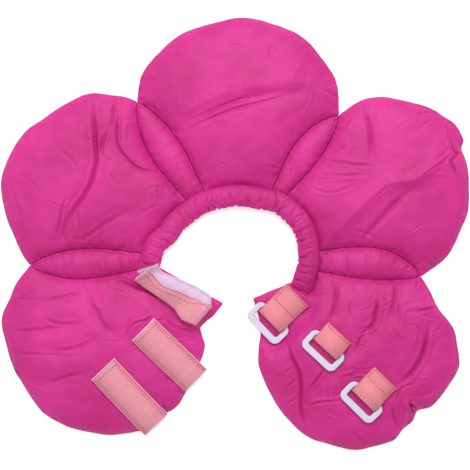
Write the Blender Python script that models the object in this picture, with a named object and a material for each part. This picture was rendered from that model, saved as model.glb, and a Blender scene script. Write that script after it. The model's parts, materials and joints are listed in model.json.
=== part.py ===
# Soft recovery collar for a cat or small dog, opened out and lying flat.
# Five padded petals with four narrow gussets between them surround a padded neck roll.
# Three hook-and-loop straps are folded over the lower left petal, and three webbing tabs
# with plastic rings are sewn to the lower right one. The neck opens towards -Y.
# Lengths are in millimetres until the meshes are made. Angles are in degrees about the
# neck's centre, anticlockwise from +X.
import math

import bmesh
import bpy
import numpy as np
from mathutils import Matrix, Vector
from mathutils.bvhtree import BVHTree
from mathutils.geometry import delaunay_2d_cdt

MM = 0.001

# Neck roll: a gathered elastic channel, padded
NECK_RADIUS = 64.0
ROLL_WIDTH = 17.6
ROLL_HEIGHT = 12.0
ROLL_END_HEIGHT = 5.0
ROLL_TAPER = 18.0
ROLL_RIGHT = -22.0
ROLL_LEFT = 184.3
GATHER_PITCH = 7.6
GATHER_DEPTH = 1.4

# Petals and gussets
TIP_REACH = 150.0
CORNER_REACH = 33.5
PETAL_DEPTH = 76.0
LOWER_PETAL_DEPTH = 100.0
GUSSET_BULGE = 10.0
PETAL_CROWN = 14.5
GUSSET_CROWN = 19.0
SEAM_HEIGHT = 1.4
EDGE_ROUND = 16.0
UNDER_ROUND = 1.2
FOLD_WIDTH = 5.5
FOLD_DEPTH = 3.0
SEAM_GAP = 0.3
PANEL_STEP = 5.6

# Straps, tabs and rings
WEBBING_WIDTH = 25.0
WEBBING_THICKNESS = 1.2
LINING_THICKNESS = 0.8
STRAP_LENGTH = 58.0
STRAP_LIP = 2.6
STRAP_LIFT = 9.0
TAB_LENGTH = 26.0
RING_LENGTH = 34.6
RING_DEPTH = 18.5
RING_BAR = 4.5
RING_PIN = 3.2
RING_THICKNESS = 3.0
RING_ROUND = 4.6
RING_CHAMFER = 0.8
PIN_SETBACK = 5.8
PIN_CLEARANCE = 0.35
TAB_SLOPE = 0.12
BED_DEPTH = 0.9
LAY_GAP = 0.3

# The seam between the neck roll and the panels: angle, reach as a share of NECK_RADIUS
NECK_SEAM = [
    (-40, 0.97), (-15, 0.98), (5, 1.02), (30, 1.05), (52, 1.03), (75, 0.96),
    (100, 0.955), (130, 1.00), (155, 1.06), (172, 1.20), (190, 1.27), (205, 1.27),
]

# Gussets: angle and reach of the outer tip (share of TIP_REACH), then the angle at the neck
# seam and the bulge (share of GUSSET_BULGE) of the clockwise and the anticlockwise side
GUSSETS = {
    "gusset_right": dict(angle=-4.5, reach=0.98, neck=(-6.3, 7.6), bulge=(0.44, 1.38)),
    "gusset_upper_right": dict(angle=55.4, reach=0.95, neck=(53.9, 64.3), bulge=(0.56, 1.14)),
    "gusset_upper_left": dict(angle=122.2, reach=1.01, neck=(115.6, 129.4), bulge=(0.80, 1.04)),
    "gusset_left": dict(angle=180.9, reach=1.11, neck=(174.9, 184.3), bulge=(0.88, 0.92)),
}

# The pointed flap at each end of the neck: angle, share of CORNER_REACH
CORNERS = {"right": (292.3, 0.94), "left": (250.1, 1.05)}

# Petal outlines. Each runs anticlockwise between the petal's two outer corners:
# share of the way between them, then distance out from that line as a share of the depth
PETAL_TOP = [
    (0.01, 0.22), (0.03, 0.38), (0.08, 0.53), (0.20, 0.79), (0.36, 0.92), (0.50, 0.96),
    (0.61, 0.91), (0.80, 0.75), (0.93, 0.48), (0.99, 0.26),
]
PETAL_UPPER_RIGHT = [
    (0.02, 0.25), (0.05, 0.40), (0.14, 0.62), (0.20, 0.75), (0.29, 0.85), (0.39, 0.94),
    (0.47, 0.98), (0.53, 0.99), (0.56, 1.05), (0.66, 1.05), (0.74, 0.97), (0.82, 0.87),
    (0.95, 0.59), (1.00, 0.42), (1.02, 0.24),
]
PETAL_LOWER_RIGHT = [
    (0.02, 0.15), (0.02, 0.28), (-0.01, 0.44), (-0.01, 0.60), (0.07, 0.90), (0.20, 1.14),
    (0.34, 1.24), (0.48, 1.31), (0.60, 1.30), (0.72, 1.27), (0.77, 1.20), (0.84, 1.14),
    (0.88, 1.06), (0.95, 1.05), (1.02, 0.98), (1.14, 0.79), (1.16, 0.68), (1.15, 0.45),
    (1.08, 0.28), (1.04, 0.12),
]
PETAL_UPPER_LEFT = [
    (0.01, 0.12), (0.04, 0.25), (0.09, 0.45), (0.15, 0.55), (0.26, 0.67), (0.35, 0.74),
    (0.45, 0.82), (0.61, 0.81), (0.74, 0.72), (0.85, 0.51), (0.91, 0.34), (0.97, 0.15),
]
PETAL_LOWER_LEFT = [
    (-0.05, 0.16), (-0.07, 0.30), (-0.09, 0.45), (-0.06, 0.60), (0.01, 0.81), (0.06, 0.91),
    (0.17, 1.09), (0.24, 1.16), (0.35, 1.21), (0.47, 1.22), (0.57, 1.21), (0.70, 1.14),
    (0.77, 1.09), (0.83, 0.94), (0.88, 0.86), (0.94, 0.52), (0.95, 0.35), (0.91, 0.23),
    (0.96, 0.12),
]
PETALS = {
    "petal_lower_right": dict(
        start="right", end="gusset_right", depth=LOWER_PETAL_DEPTH, outline=PETAL_LOWER_RIGHT),
    "petal_upper_right": dict(
        start="gusset_right", end="gusset_upper_right", depth=PETAL_DEPTH, outline=PETAL_UPPER_RIGHT),
    "petal_top": dict(
        start="gusset_upper_right", end="gusset_upper_left", depth=PETAL_DEPTH, outline=PETAL_TOP),
    "petal_upper_left": dict(
        start="gusset_upper_left", end="gusset_left", depth=PETAL_DEPTH, outline=PETAL_UPPER_LEFT),
    "petal_lower_left": dict(
        start="gusset_left", end="left", depth=LOWER_PETAL_DEPTH, outline=PETAL_LOWER_LEFT),
}

# Folds in the petals: petal, depth as a share of FOLD_DEPTH (a ridge is negative), width as a
# share of FOLD_WIDTH, then points along the fold in the petal's shares of length and depth
FOLDS = [
    ("petal_top", 0.9, 1.0, [(0.73, -0.17), (0.54, 0.05), (0.21, 0.21)]),
    ("petal_top", -0.5, 1.0, [(0.74, -0.06), (0.55, 0.14), (0.23, 0.31)]),
    ("petal_upper_right", -0.8, 1.3, [(0.40, -0.81), (0.51, -0.18), (0.54, 0.11), (0.50, 0.43), (0.57, 0.88)]),
    ("petal_upper_right", 0.8, 1.0, [(0.32, -0.41), (0.37, -0.20), (0.43, 0.12), (0.45, 0.32)]),
    ("petal_upper_right", 0.6, 0.9, [(0.99, 0.26), (0.79, 0.17), (0.71, 0.10)]),
    ("petal_lower_right", 1.4, 1.0, [(0.15, 0.35), (0.20, 0.57), (0.21, 0.78), (0.20, 1.02), (0.21, 1.12)]),
    ("petal_lower_right", 1.0, 1.1, [(1.01, 0.39), (0.92, 0.68), (0.78, 0.83)]),
    ("petal_lower_right", 0.9, 1.0, [(0.85, 0.01), (0.83, 0.13), (0.78, 0.30)]),
    ("petal_lower_right", 0.9, 1.0, [(0.74, 0.14), (0.67, 0.33), (0.56, 0.51)]),
    ("petal_lower_right", 0.9, 1.0, [(0.49, -0.05), (0.49, 0.06), (0.43, 0.25)]),
    ("petal_lower_right", -1.2, 1.1, [(0.83, 0.92), (0.83, 1.02), (0.80, 1.14)]),
    ("petal_lower_right", 1.1, 0.9, [(0.75, 0.95), (0.74, 1.05), (0.71, 1.17)]),
    ("petal_upper_left", 1.4, 1.0, [(0.12, 0.42), (0.34, 0.04), (0.46, -0.06), (0.61, -0.08), (0.80, -0.14)]),
    ("petal_upper_left", 0.8, 1.0, [(0.05, 0.17), (0.24, -0.08), (0.28, -0.43), (0.23, -0.63)]),
    ("petal_upper_left", 0.8, 1.0, [(0.77, -0.30), (0.63, -0.41), (0.51, -0.54)]),
    ("petal_lower_left", 0.8, 1.0, [(0.31, 0.13), (0.43, 0.35), (0.50, 0.41)]),
    ("petal_lower_left", 0.8, 1.0, [(-0.03, 0.54), (0.12, 0.48), (0.27, 0.39)]),
    ("petal_lower_left", 0.7, 0.9, [(0.11, 0.26), (0.22, 0.18), (0.31, 0.12)]),
    ("petal_lower_left", 0.7, 0.9, [(0.21, 0.63), (0.32, 0.57), (0.39, 0.49)]),
    ("petal_lower_left", 0.7, 0.9, [(0.20, 0.91), (0.30, 0.81), (0.38, 0.75)]),
]

# Flat straps: middle of the free end in the petal's shares, heading of the folded end
FLAT_STRAPS = {
    "2": dict(petal="petal_lower_left", free=(0.63, 0.32), heading=-44.5),
    "3": dict(petal="petal_lower_left", free=(0.47, 0.69), heading=-47.0),
}
# The strap by the neck is doubled over: its sewn end, its fold and its free end
DOUBLE_STRAP = dict(petal="petal_lower_left", sewn=(0.585, -0.165), fold=(0.893, 0.120), free=(0.572, -0.097))

# Tabs: middle of the sewn end in the petal's shares, heading of the looped end, and the
# whole length as a share of TAB_LENGTH
TABS = {
    "1": dict(petal="petal_lower_right", sewn=(0.265, 0.012), heading=-136.0, length=1.20),
    "2": dict(petal="petal_lower_right", sewn=(0.48, 0.35), heading=-133.0, length=0.70),
    "3": dict(petal="petal_lower_right", sewn=(0.71, 0.75), heading=-134.5, length=1.00),
}

# The neck roll's section: share across from the inner edge, share of the height
ROLL_SECTION = [
    (0.10, 0.0), (0.90, 0.0), (0.99, 0.20), (1.0, 0.52), (0.86, 0.86), (0.55, 1.0),
    (0.25, 0.93), (0.04, 0.64), (0.0, 0.26),
]


def make_material(name, colour, roughness):
    material = bpy.data.materials.new(name)
    material.use_nodes = True
    shader = material.node_tree.nodes["Principled BSDF"]
    shader.inputs["Base Color"].default_value = (*colour, 1.0)
    shader.inputs["Roughness"].default_value = roughness
    shader.inputs["Metallic"].default_value = 0.0
    material.diffuse_color = (*colour, 1.0)
    return material


def polar(angle, reach):
    return np.array([math.cos(math.radians(angle)), math.sin(math.radians(angle))]) * reach


def neck_reach(angle):
    """Radius of the neck seam at an angle, eased between the rows of its table."""
    rows = NECK_SEAM
    for (a0, r0), (a1, r1) in zip(rows, rows[1:]):
        if angle <= a1 or (a1, r1) == rows[-1]:
            t = min(max((angle - a0) / (a1 - a0), 0.0), 1.0)
            t = t * t * (3 - 2 * t)
            return NECK_RADIUS * (r0 + (r1 - r0) * t)


def spline(points, step):
    """A smooth curve through the points, sampled about every step."""
    points = [np.array(p, dtype=float) for p in points]
    padded = [2 * points[0] - points[1], *points, 2 * points[-1] - points[-2]]
    curve = [points[0]]
    for p0, p1, p2, p3 in zip(padded, padded[1:], padded[2:], padded[3:]):
        count = max(1, round(float(np.linalg.norm(p2 - p1)) / step))
        for i in range(1, count + 1):
            t = i / count
            curve.append(0.5 * (2 * p1 + (p2 - p0) * t + (2 * p0 - 5 * p1 + 4 * p2 - p3) * t ** 2
                                + (3 * p1 - p0 - 3 * p2 + p3) * t ** 3))
    return curve


def corner_point(name):
    if name in CORNERS:
        angle, share = CORNERS[name]
        return polar(angle, CORNER_REACH * share)
    return polar(GUSSETS[name]["angle"], TIP_REACH * GUSSETS[name]["reach"])


def on_petal(name, along, out):
    """A point given in a petal's own shares."""
    petal = PETALS[name]
    start = corner_point(petal["start"])
    chord = corner_point(petal["end"]) - start
    outward = np.array([chord[1], -chord[0]]) / np.linalg.norm(chord)
    return start + chord * along + outward * out * petal["depth"]


def gusset_side(name, side):
    """One seam of a gusset, from its tip to the neck. Side 0 is clockwise, 1 anticlockwise."""
    gusset = GUSSETS[name]
    tip = corner_point(name)
    angle = gusset["neck"][side]
    foot = polar(angle, neck_reach(angle))
    chord = foot - tip
    sideways = np.array([chord[1], -chord[0]]) / np.linalg.norm(chord) * (1 if side else -1)
    bulge = GUSSET_BULGE * gusset["bulge"][side]
    count = max(4, round(float(np.linalg.norm(chord)) / PANEL_STEP))
    return [tip + chord * s + sideways * bulge * math.sin(math.pi * s ** 0.8)
            for s in (i / count for i in range(count + 1))]


def neck_arc(start, end):
    count = max(2, round(math.radians(abs(end - start)) * NECK_RADIUS / PANEL_STEP))
    angles = [start + (end - start) * i / count for i in range(count + 1)]
    return [polar(a, neck_reach(a)) for a in angles]


def straight(a, b):
    count = max(1, round(float(np.linalg.norm(b - a)) / PANEL_STEP))
    return [a + (b - a) * i / count for i in range(count + 1)]


def join_curves(curves):
    loop = []
    for curve in curves:
        for point in curve:
            if not loop or np.linalg.norm(point - loop[-1]) > 0.01:
                loop.append(point)
    if np.linalg.norm(loop[0] - loop[-1]) < 0.01:
        loop.pop()
    return loop


def inset(loop, distance):
    """The loop moved inwards. It runs anticlockwise, so inwards is to its left."""
    moved = []
    for before, point, after in zip([loop[-1]] + loop[:-1], loop, loop[1:] + loop[:1]):
        first = (point - before) / np.linalg.norm(point - before)
        second = (after - point) / np.linalg.norm(after - point)
        normal = np.array([-first[1] - second[1], first[0] + second[0]])
        mitre = normal / max(1.0 + float(first @ second), 0.25)
        moved.append(point + mitre * distance)
    return moved


def edge_distance(points, loop, closed=True):
    """Distance from each point to the nearest part of the loop or open line."""
    points = np.array(points)
    ends = loop[1:] + loop[:1] if closed else loop[1:]
    nearest = np.full(len(points), 1e9)
    for a, b in zip(loop, ends):
        along = b - a
        share = np.clip(((points - a) @ along) / max(float(along @ along), 1e-9), 0, 1)
        nearest = np.minimum(nearest, np.linalg.norm(points - a - share[:, None] * along, axis=1))
    return nearest


def inside(points, loop):
    points = np.array(points)
    result = np.zeros(len(points), dtype=bool)
    for a, b in zip(loop, loop[1:] + loop[:1]):
        crosses = (a[1] > points[:, 1]) != (b[1] > points[:, 1])
        if a[1] != b[1]:
            x = a[0] + (points[:, 1] - a[1]) * (b[0] - a[0]) / (b[1] - a[1])
            result ^= crosses & (points[:, 0] < x)
    return result


def triangulate(points, loops):
    """Triangles between the points, kept inside the first loop and outside the others."""
    edges = [(a, b) for loop in loops for a, b in zip(loop, loop[1:] + loop[:1])]
    made = delaunay_2d_cdt([Vector((p[0], p[1])) for p in points], edges, [], 1, 1e-5)
    source = [ids[0] for ids in made[3]]
    triangles = [tuple(source[i] for i in face) for face in made[2]]
    holes = [[np.array(points[i]) for i in loop] for loop in loops[1:]]
    for hole in holes:
        centres = [sum(np.array(points[i]) for i in face) / 3 for face in triangles]
        triangles = [face for face, out in zip(triangles, ~inside(centres, hole)) if out]
    return triangles


def padding_share(points, triangles, border):
    """How far the padding rises at each point, from 0 at the border to 1 far from it.

    It is the height of a sheet that is pushed up evenly and held at its edge.
    """
    count = len(points)
    stiffness = np.zeros((count, count))
    area = np.zeros(count)
    for face in triangles:
        p = [points[i] for i in face]
        double = abs(float(np.cross(p[1] - p[0], p[2] - p[0])))
        for k in range(3):
            i, j, apex = face[k], face[(k + 1) % 3], p[(k + 2) % 3]
            weight = float((points[i] - apex) @ (points[j] - apex)) / double / 2
            stiffness[i, j] -= weight
            stiffness[j, i] -= weight
            stiffness[i, i] += weight
            stiffness[j, j] += weight
            area[i] += double / 6
    free = np.arange(border, count)
    system = stiffness[np.ix_(free, free)] + np.diag(area[free]) / EDGE_ROUND ** 2
    share = np.zeros(count)
    share[free] = np.linalg.solve(system, area[free]) / EDGE_ROUND ** 2
    return np.clip(share, 0, 1)


def panel(name, loop, crown):
    """A padded panel: its points in plan, its triangles and the height at each point."""
    loop = inset(loop, SEAM_GAP / 2)
    shoulder = [p for p in inset(loop, 0.4 * PANEL_STEP)]
    low = np.min(loop, axis=0)
    high = np.max(loop, axis=0)
    lattice = []
    row = 0
    y = low[1]
    while y < high[1]:
        for x in np.arange(low[0] + (row % 2) * PANEL_STEP / 2, high[0], PANEL_STEP):
            lattice.append(np.array([x, y]))
        y += PANEL_STEP * math.sqrt(0.75)
        row += 1
    points = list(loop)
    for group, clearance in ((shoulder, 0.36 * PANEL_STEP), (lattice, 0.85 * PANEL_STEP)):
        keep = inside(group, loop) & (edge_distance(group, loop) > clearance)
        points += [p for p, good in zip(group, keep) if good]
    triangles = triangulate(points, [list(range(len(loop)))])
    share = padding_share(points, triangles, len(loop))
    heights = SEAM_HEIGHT + (crown - SEAM_HEIGHT) * share ** 0.7
    for petal, depth, width, line in FOLDS:
        if petal == name:
            route = spline([on_petal(petal, *p) for p in line], PANEL_STEP)
            away = edge_distance(points, route, closed=False)
            heights -= depth * FOLD_DEPTH * np.exp(-(away / (width * FOLD_WIDTH)) ** 2) * share
    return dict(name=name, loop=loop, points=np.array(points), triangles=triangles, heights=heights)


def surface(parts):
    """The tops of several panels as one tree to measure heights on."""
    corners = []
    faces = []
    for part in parts:
        faces += [tuple(len(corners) + i for i in face) for face in part["triangles"]]
        corners += [(p[0], p[1], h) for p, h in zip(part["points"], part["heights"])]
    return BVHTree.FromPolygons(corners, faces)


def height_at(tree, point, missing=0.0):
    hit = tree.ray_cast(Vector((point[0], point[1], 500.0)), Vector((0, 0, -1)))[0]
    return hit.z if hit else missing


def press(part, origin, direction, profile, half_width):
    """Flatten a panel where a strap or tab lies on it. Profile holds (distance, height)."""
    across = np.array([-direction[1], direction[0]])
    offset = part["points"] - origin
    along = offset @ direction
    aside = np.abs(offset @ across) - half_width
    past = np.maximum(profile[0][0] - along, along - profile[-1][0])
    away = np.hypot(np.maximum(aside, 0), np.maximum(past, 0))
    level = np.interp(along, [row[0] for row in profile], [row[1] for row in profile])
    hold = np.clip(1 - away / (1.6 * PANEL_STEP), 0, 1)
    hold = hold * hold * (3 - 2 * hold)
    hold[:len(part["loop"])] = 0
    part["heights"] = part["heights"] * (1 - hold) + level * hold


def lay(tree, origin, direction, distances, half_width):
    """Heights at which a strip clears everything under it, one for each distance."""
    across = np.array([-direction[1], direction[0]])

    def need(distance):
        spots = [origin + direction * d + across * half_width * s
                 for d in (distance - 2 * LAY_GAP, distance, distance + 2 * LAY_GAP)
                 for s in np.linspace(-1.02, 1.02, 17)]
        return max(height_at(tree, p) for p in spots) + LAY_GAP

    heights = [need(d) for d in distances]
    for _ in range(3):
        for i in range(len(distances) - 1):
            for t in (0.125, 0.25, 0.375, 0.5, 0.625, 0.75, 0.875):
                d = distances[i] + (distances[i + 1] - distances[i]) * t
                short = need(d) - (heights[i] * (1 - t) + heights[i + 1] * t)
                if short > 0:
                    heights[i] += short
                    heights[i + 1] += short
    return heights


def panel_mesh(part):
    """Closed mesh: the padded top, a rounded rim and a flat underside."""
    mesh = bmesh.new()
    top = [mesh.verts.new((p[0], p[1], h)) for p, h in zip(part["points"], part["heights"])]
    for face in part["triangles"]:
        mesh.faces.new([top[i] for i in face])
    count = len(part["loop"])
    under = [mesh.verts.new((p[0], p[1], 0.0)) for p in inset(part["loop"], UNDER_ROUND)]
    for i in range(count):
        j = (i + 1) % count
        mesh.faces.new([under[i], under[j], top[j], top[i]])
    floor = triangulate([v.co for v in under], [list(range(count))])
    for face in floor:
        mesh.faces.new([under[i] for i in reversed(face)])
    return mesh


def roll_mesh():
    """The neck roll: its section swept along the neck seam, gathered and tapered at the ends."""
    gap = math.degrees(SEAM_GAP / NECK_RADIUS)
    first, last = ROLL_RIGHT + gap, ROLL_LEFT - gap
    length = math.radians(last - first) * (NECK_RADIUS - ROLL_WIDTH / 2)
    gathers = max(6, round(length / GATHER_PITCH))
    count = 3 * gathers
    mesh = bmesh.new()
    rings = []
    for i in range(count + 1):
        angle = first + (last - first) * i / count
        pull = 0.5 - 0.5 * math.cos(2 * math.pi * gathers * i / count)
        end = min(i, count - i) / count * length / ROLL_TAPER
        end = min(end, 1.0)
        rise = ROLL_END_HEIGHT + (ROLL_HEIGHT - ROLL_END_HEIGHT) * end * (2 - end)
        rise -= GATHER_DEPTH * pull * end
        outer = neck_reach(angle) - SEAM_GAP / 2
        width = ROLL_WIDTH - 0.6 * GATHER_DEPTH * pull
        ring = []
        for across, up in ROLL_SECTION:
            x, y = polar(angle, outer - width * (1 - across))
            ring.append(mesh.verts.new((x, y, rise * up)))
        rings.append(ring)
    sides = len(ROLL_SECTION)
    for a, b in zip(rings, rings[1:]):
        for k in range(sides):
            j = (k + 1) % sides
            mesh.faces.new([a[k], b[k], b[j], a[j]])
    mesh.faces.new(rings[0])
    mesh.faces.new(list(reversed(rings[-1])))
    return mesh


def ribbon_mesh(stations, near, far, half_width):
    """A strip between two depths along its normals. A station is centre, across, normal."""
    mesh = bmesh.new()
    rings = []
    for centre, across, normal in stations:
        rings.append([mesh.verts.new(centre + across * side * half_width + normal * depth)
                      for side, depth in ((-1, near), (1, near), (1, far), (-1, far))])
    for a, b in zip(rings, rings[1:]):
        # both broad faces are split along the same diagonal, so that layers stay apart
        for corners in ((a[0], a[1], b[1]), (a[0], b[1], b[0]), (a[2], a[3], b[2]), (a[3], b[3], b[2])):
            mesh.faces.new(corners)
        mesh.faces.new([a[1], a[2], b[2], b[1]])
        mesh.faces.new([a[3], a[0], b[0], b[3]])
    mesh.faces.new(list(reversed(rings[0])))
    mesh.faces.new(rings[-1])
    bmesh.ops.recalc_face_normals(mesh, faces=mesh.faces)
    return mesh


def path_stations(path, origin, direction):
    """Stations of a strip whose path is given as (distance along, height)."""
    across = Vector((-direction[1], direction[0], 0))
    stations = []
    for i, (distance, height) in enumerate(path):
        before = path[max(i - 1, 0)]
        after = path[min(i + 1, len(path) - 1)]
        slope = Vector((after[0] - before[0], after[1] - before[1])).normalized()
        forward = Vector((direction[0] * slope.x, direction[1] * slope.x, slope.y))
        x, y = origin + direction * distance
        stations.append((Vector((x, y, height)), across, across.cross(forward).normalized()))
    return stations


def rounded_rectangle(x0, x1, y0, y1, radius, steps):
    loop = []
    centres = [(x1 - radius, y0 + radius, -90), (x1 - radius, y1 - radius, 0),
               (x0 + radius, y1 - radius, 90), (x0 + radius, y0 + radius, 180)]
    for cx, cy, start in centres:
        for i in range(steps + 1):
            angle = math.radians(start + 90 * i / steps)
            loop.append((cx + radius * math.cos(angle), cy + radius * math.sin(angle)))
    return loop


def ring_mesh():
    """The ring, with its hidden pin along X through the origin and the loop towards +Y."""
    half = RING_LENGTH / 2
    low, high = -RING_PIN / 2, RING_DEPTH - RING_PIN / 2
    outer = rounded_rectangle(-half, half, low, high, RING_ROUND, 4)
    inner = rounded_rectangle(RING_BAR - half, half - RING_BAR, low + RING_PIN, high - RING_BAR,
                              0.3 * RING_ROUND, 4)
    flat = RING_THICKNESS / 2 - RING_CHAMFER
    mesh = bmesh.new()
    rings = []
    for out, into in zip(outer, inner):
        out, into = np.array(out), np.array(into)
        width = float(np.linalg.norm(into - out))
        cut = min(RING_CHAMFER / width, 0.3)
        full = RING_THICKNESS / 2
        section = [(0, -flat), (cut, -full), (1 - cut, -full), (1, -flat),
                   (1, flat), (1 - cut, full), (cut, full), (0, flat)]
        rings.append([mesh.verts.new((*(out + (into - out) * t), z)) for t, z in section])
    for a, b in zip(rings, rings[1:] + rings[:1]):
        for k in range(8):
            j = (k + 1) % 8
            mesh.faces.new([a[k], a[j], b[j], b[k]])
    bmesh.ops.recalc_face_normals(mesh, faces=mesh.faces)
    return mesh


def tab_profile(length):
    """Side view of a tab: webbing folded round the ring's pin and sewn flat behind it."""
    bore = RING_PIN + 2 * PIN_CLEARANCE + 0.6
    top = bore + 2 * WEBBING_THICKNESS
    turn = length - top / 2
    pin = length - PIN_SETBACK
    slope = pin - 1.1 * top
    arc = [math.radians(a) for a in (-60, -30, 0, 30, 60)]
    outer = [(0, 0), (slope, 0), (pin, 0), (turn, 0)]
    outer += [(turn + top / 2 * math.cos(a), top / 2 + top / 2 * math.sin(a)) for a in arc]
    outer += [(turn, top), (pin - 0.3 * top, top), (slope, 2 * WEBBING_THICKNESS)]
    outer += [(0, 2 * WEBBING_THICKNESS)]
    inner = [(slope + 1.5 * WEBBING_THICKNESS, WEBBING_THICKNESS), (turn, WEBBING_THICKNESS)]
    inner += [(turn + bore / 2 * math.cos(a), top / 2 + bore / 2 * math.sin(a)) for a in arc]
    inner += [(turn, top - WEBBING_THICKNESS), (pin - 0.25 * top, top - WEBBING_THICKNESS)]
    return outer, inner, (pin, top / 2)


def tab_mesh(length, frame):
    outer, inner, _ = tab_profile(length)
    points = outer + inner
    loops = [list(range(len(outer))), list(range(len(outer), len(points)))]
    mesh = bmesh.new()
    half = WEBBING_WIDTH / 2
    sides = [[mesh.verts.new(frame @ Vector((side, s, z))) for s, z in points] for side in (-half, half)]
    for face in triangulate(points, loops):
        mesh.faces.new([sides[0][i] for i in face])
        mesh.faces.new([sides[1][i] for i in reversed(face)])
    for loop in loops:
        for i, j in zip(loop, loop[1:] + loop[:1]):
            mesh.faces.new([sides[0][i], sides[0][j], sides[1][j], sides[1][i]])
    bmesh.ops.recalc_face_normals(mesh, faces=mesh.faces)
    return mesh


def place(name, mesh, material, parent, frame=None, smooth=False):
    """Make the object, with its mesh in metres in its own frame."""
    frame = frame or Matrix.Identity(4)
    mesh.transform(Matrix.Scale(MM, 4) @ frame.inverted())
    data = bpy.data.meshes.new(name)
    mesh.to_mesh(data)
    mesh.free()
    if smooth:
        data.shade_smooth()
        data.set_sharp_from_angle(angle=math.radians(40))
    data.materials.append(material)
    thing = bpy.data.objects.new(name, data)
    bpy.context.scene.collection.objects.link(thing)
    thing.parent = parent
    thing.location = frame.translation * MM
    thing.rotation_euler = frame.to_euler()
    return thing


def petal_loop(name):
    petal = PETALS[name]
    start, end = petal["start"], petal["end"]
    outline = [corner_point(start), *(on_petal(name, *row) for row in petal["outline"]), corner_point(end)]
    curves = [spline(outline, PANEL_STEP)]
    right_edge = polar(ROLL_RIGHT, neck_reach(ROLL_RIGHT))
    right_inner = polar(ROLL_RIGHT, neck_reach(ROLL_RIGHT) - ROLL_WIDTH)
    left_edge = polar(ROLL_LEFT, neck_reach(ROLL_LEFT))
    left_inner = polar(ROLL_LEFT, neck_reach(ROLL_LEFT) - ROLL_WIDTH)
    if end in GUSSETS:
        curves.append(gusset_side(end, 0))
    else:
        curves += [straight(corner_point(end), left_inner), straight(left_inner, left_edge)]
    neck_end = GUSSETS[end]["neck"][0] if end in GUSSETS else ROLL_LEFT
    neck_start = GUSSETS[start]["neck"][1] if start in GUSSETS else ROLL_RIGHT
    if neck_end > neck_start + 0.1:
        curves.append(neck_arc(neck_end, neck_start))
    if start in GUSSETS:
        curves.append(gusset_side(start, 1)[::-1])
    else:
        curves += [straight(right_edge, right_inner), straight(right_inner, corner_point(start))]
    return join_curves(curves)


def gusset_loop(name):
    low, high = GUSSETS[name]["neck"]
    return join_curves([gusset_side(name, 1), neck_arc(high, low), gusset_side(name, 0)[::-1]])


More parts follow.
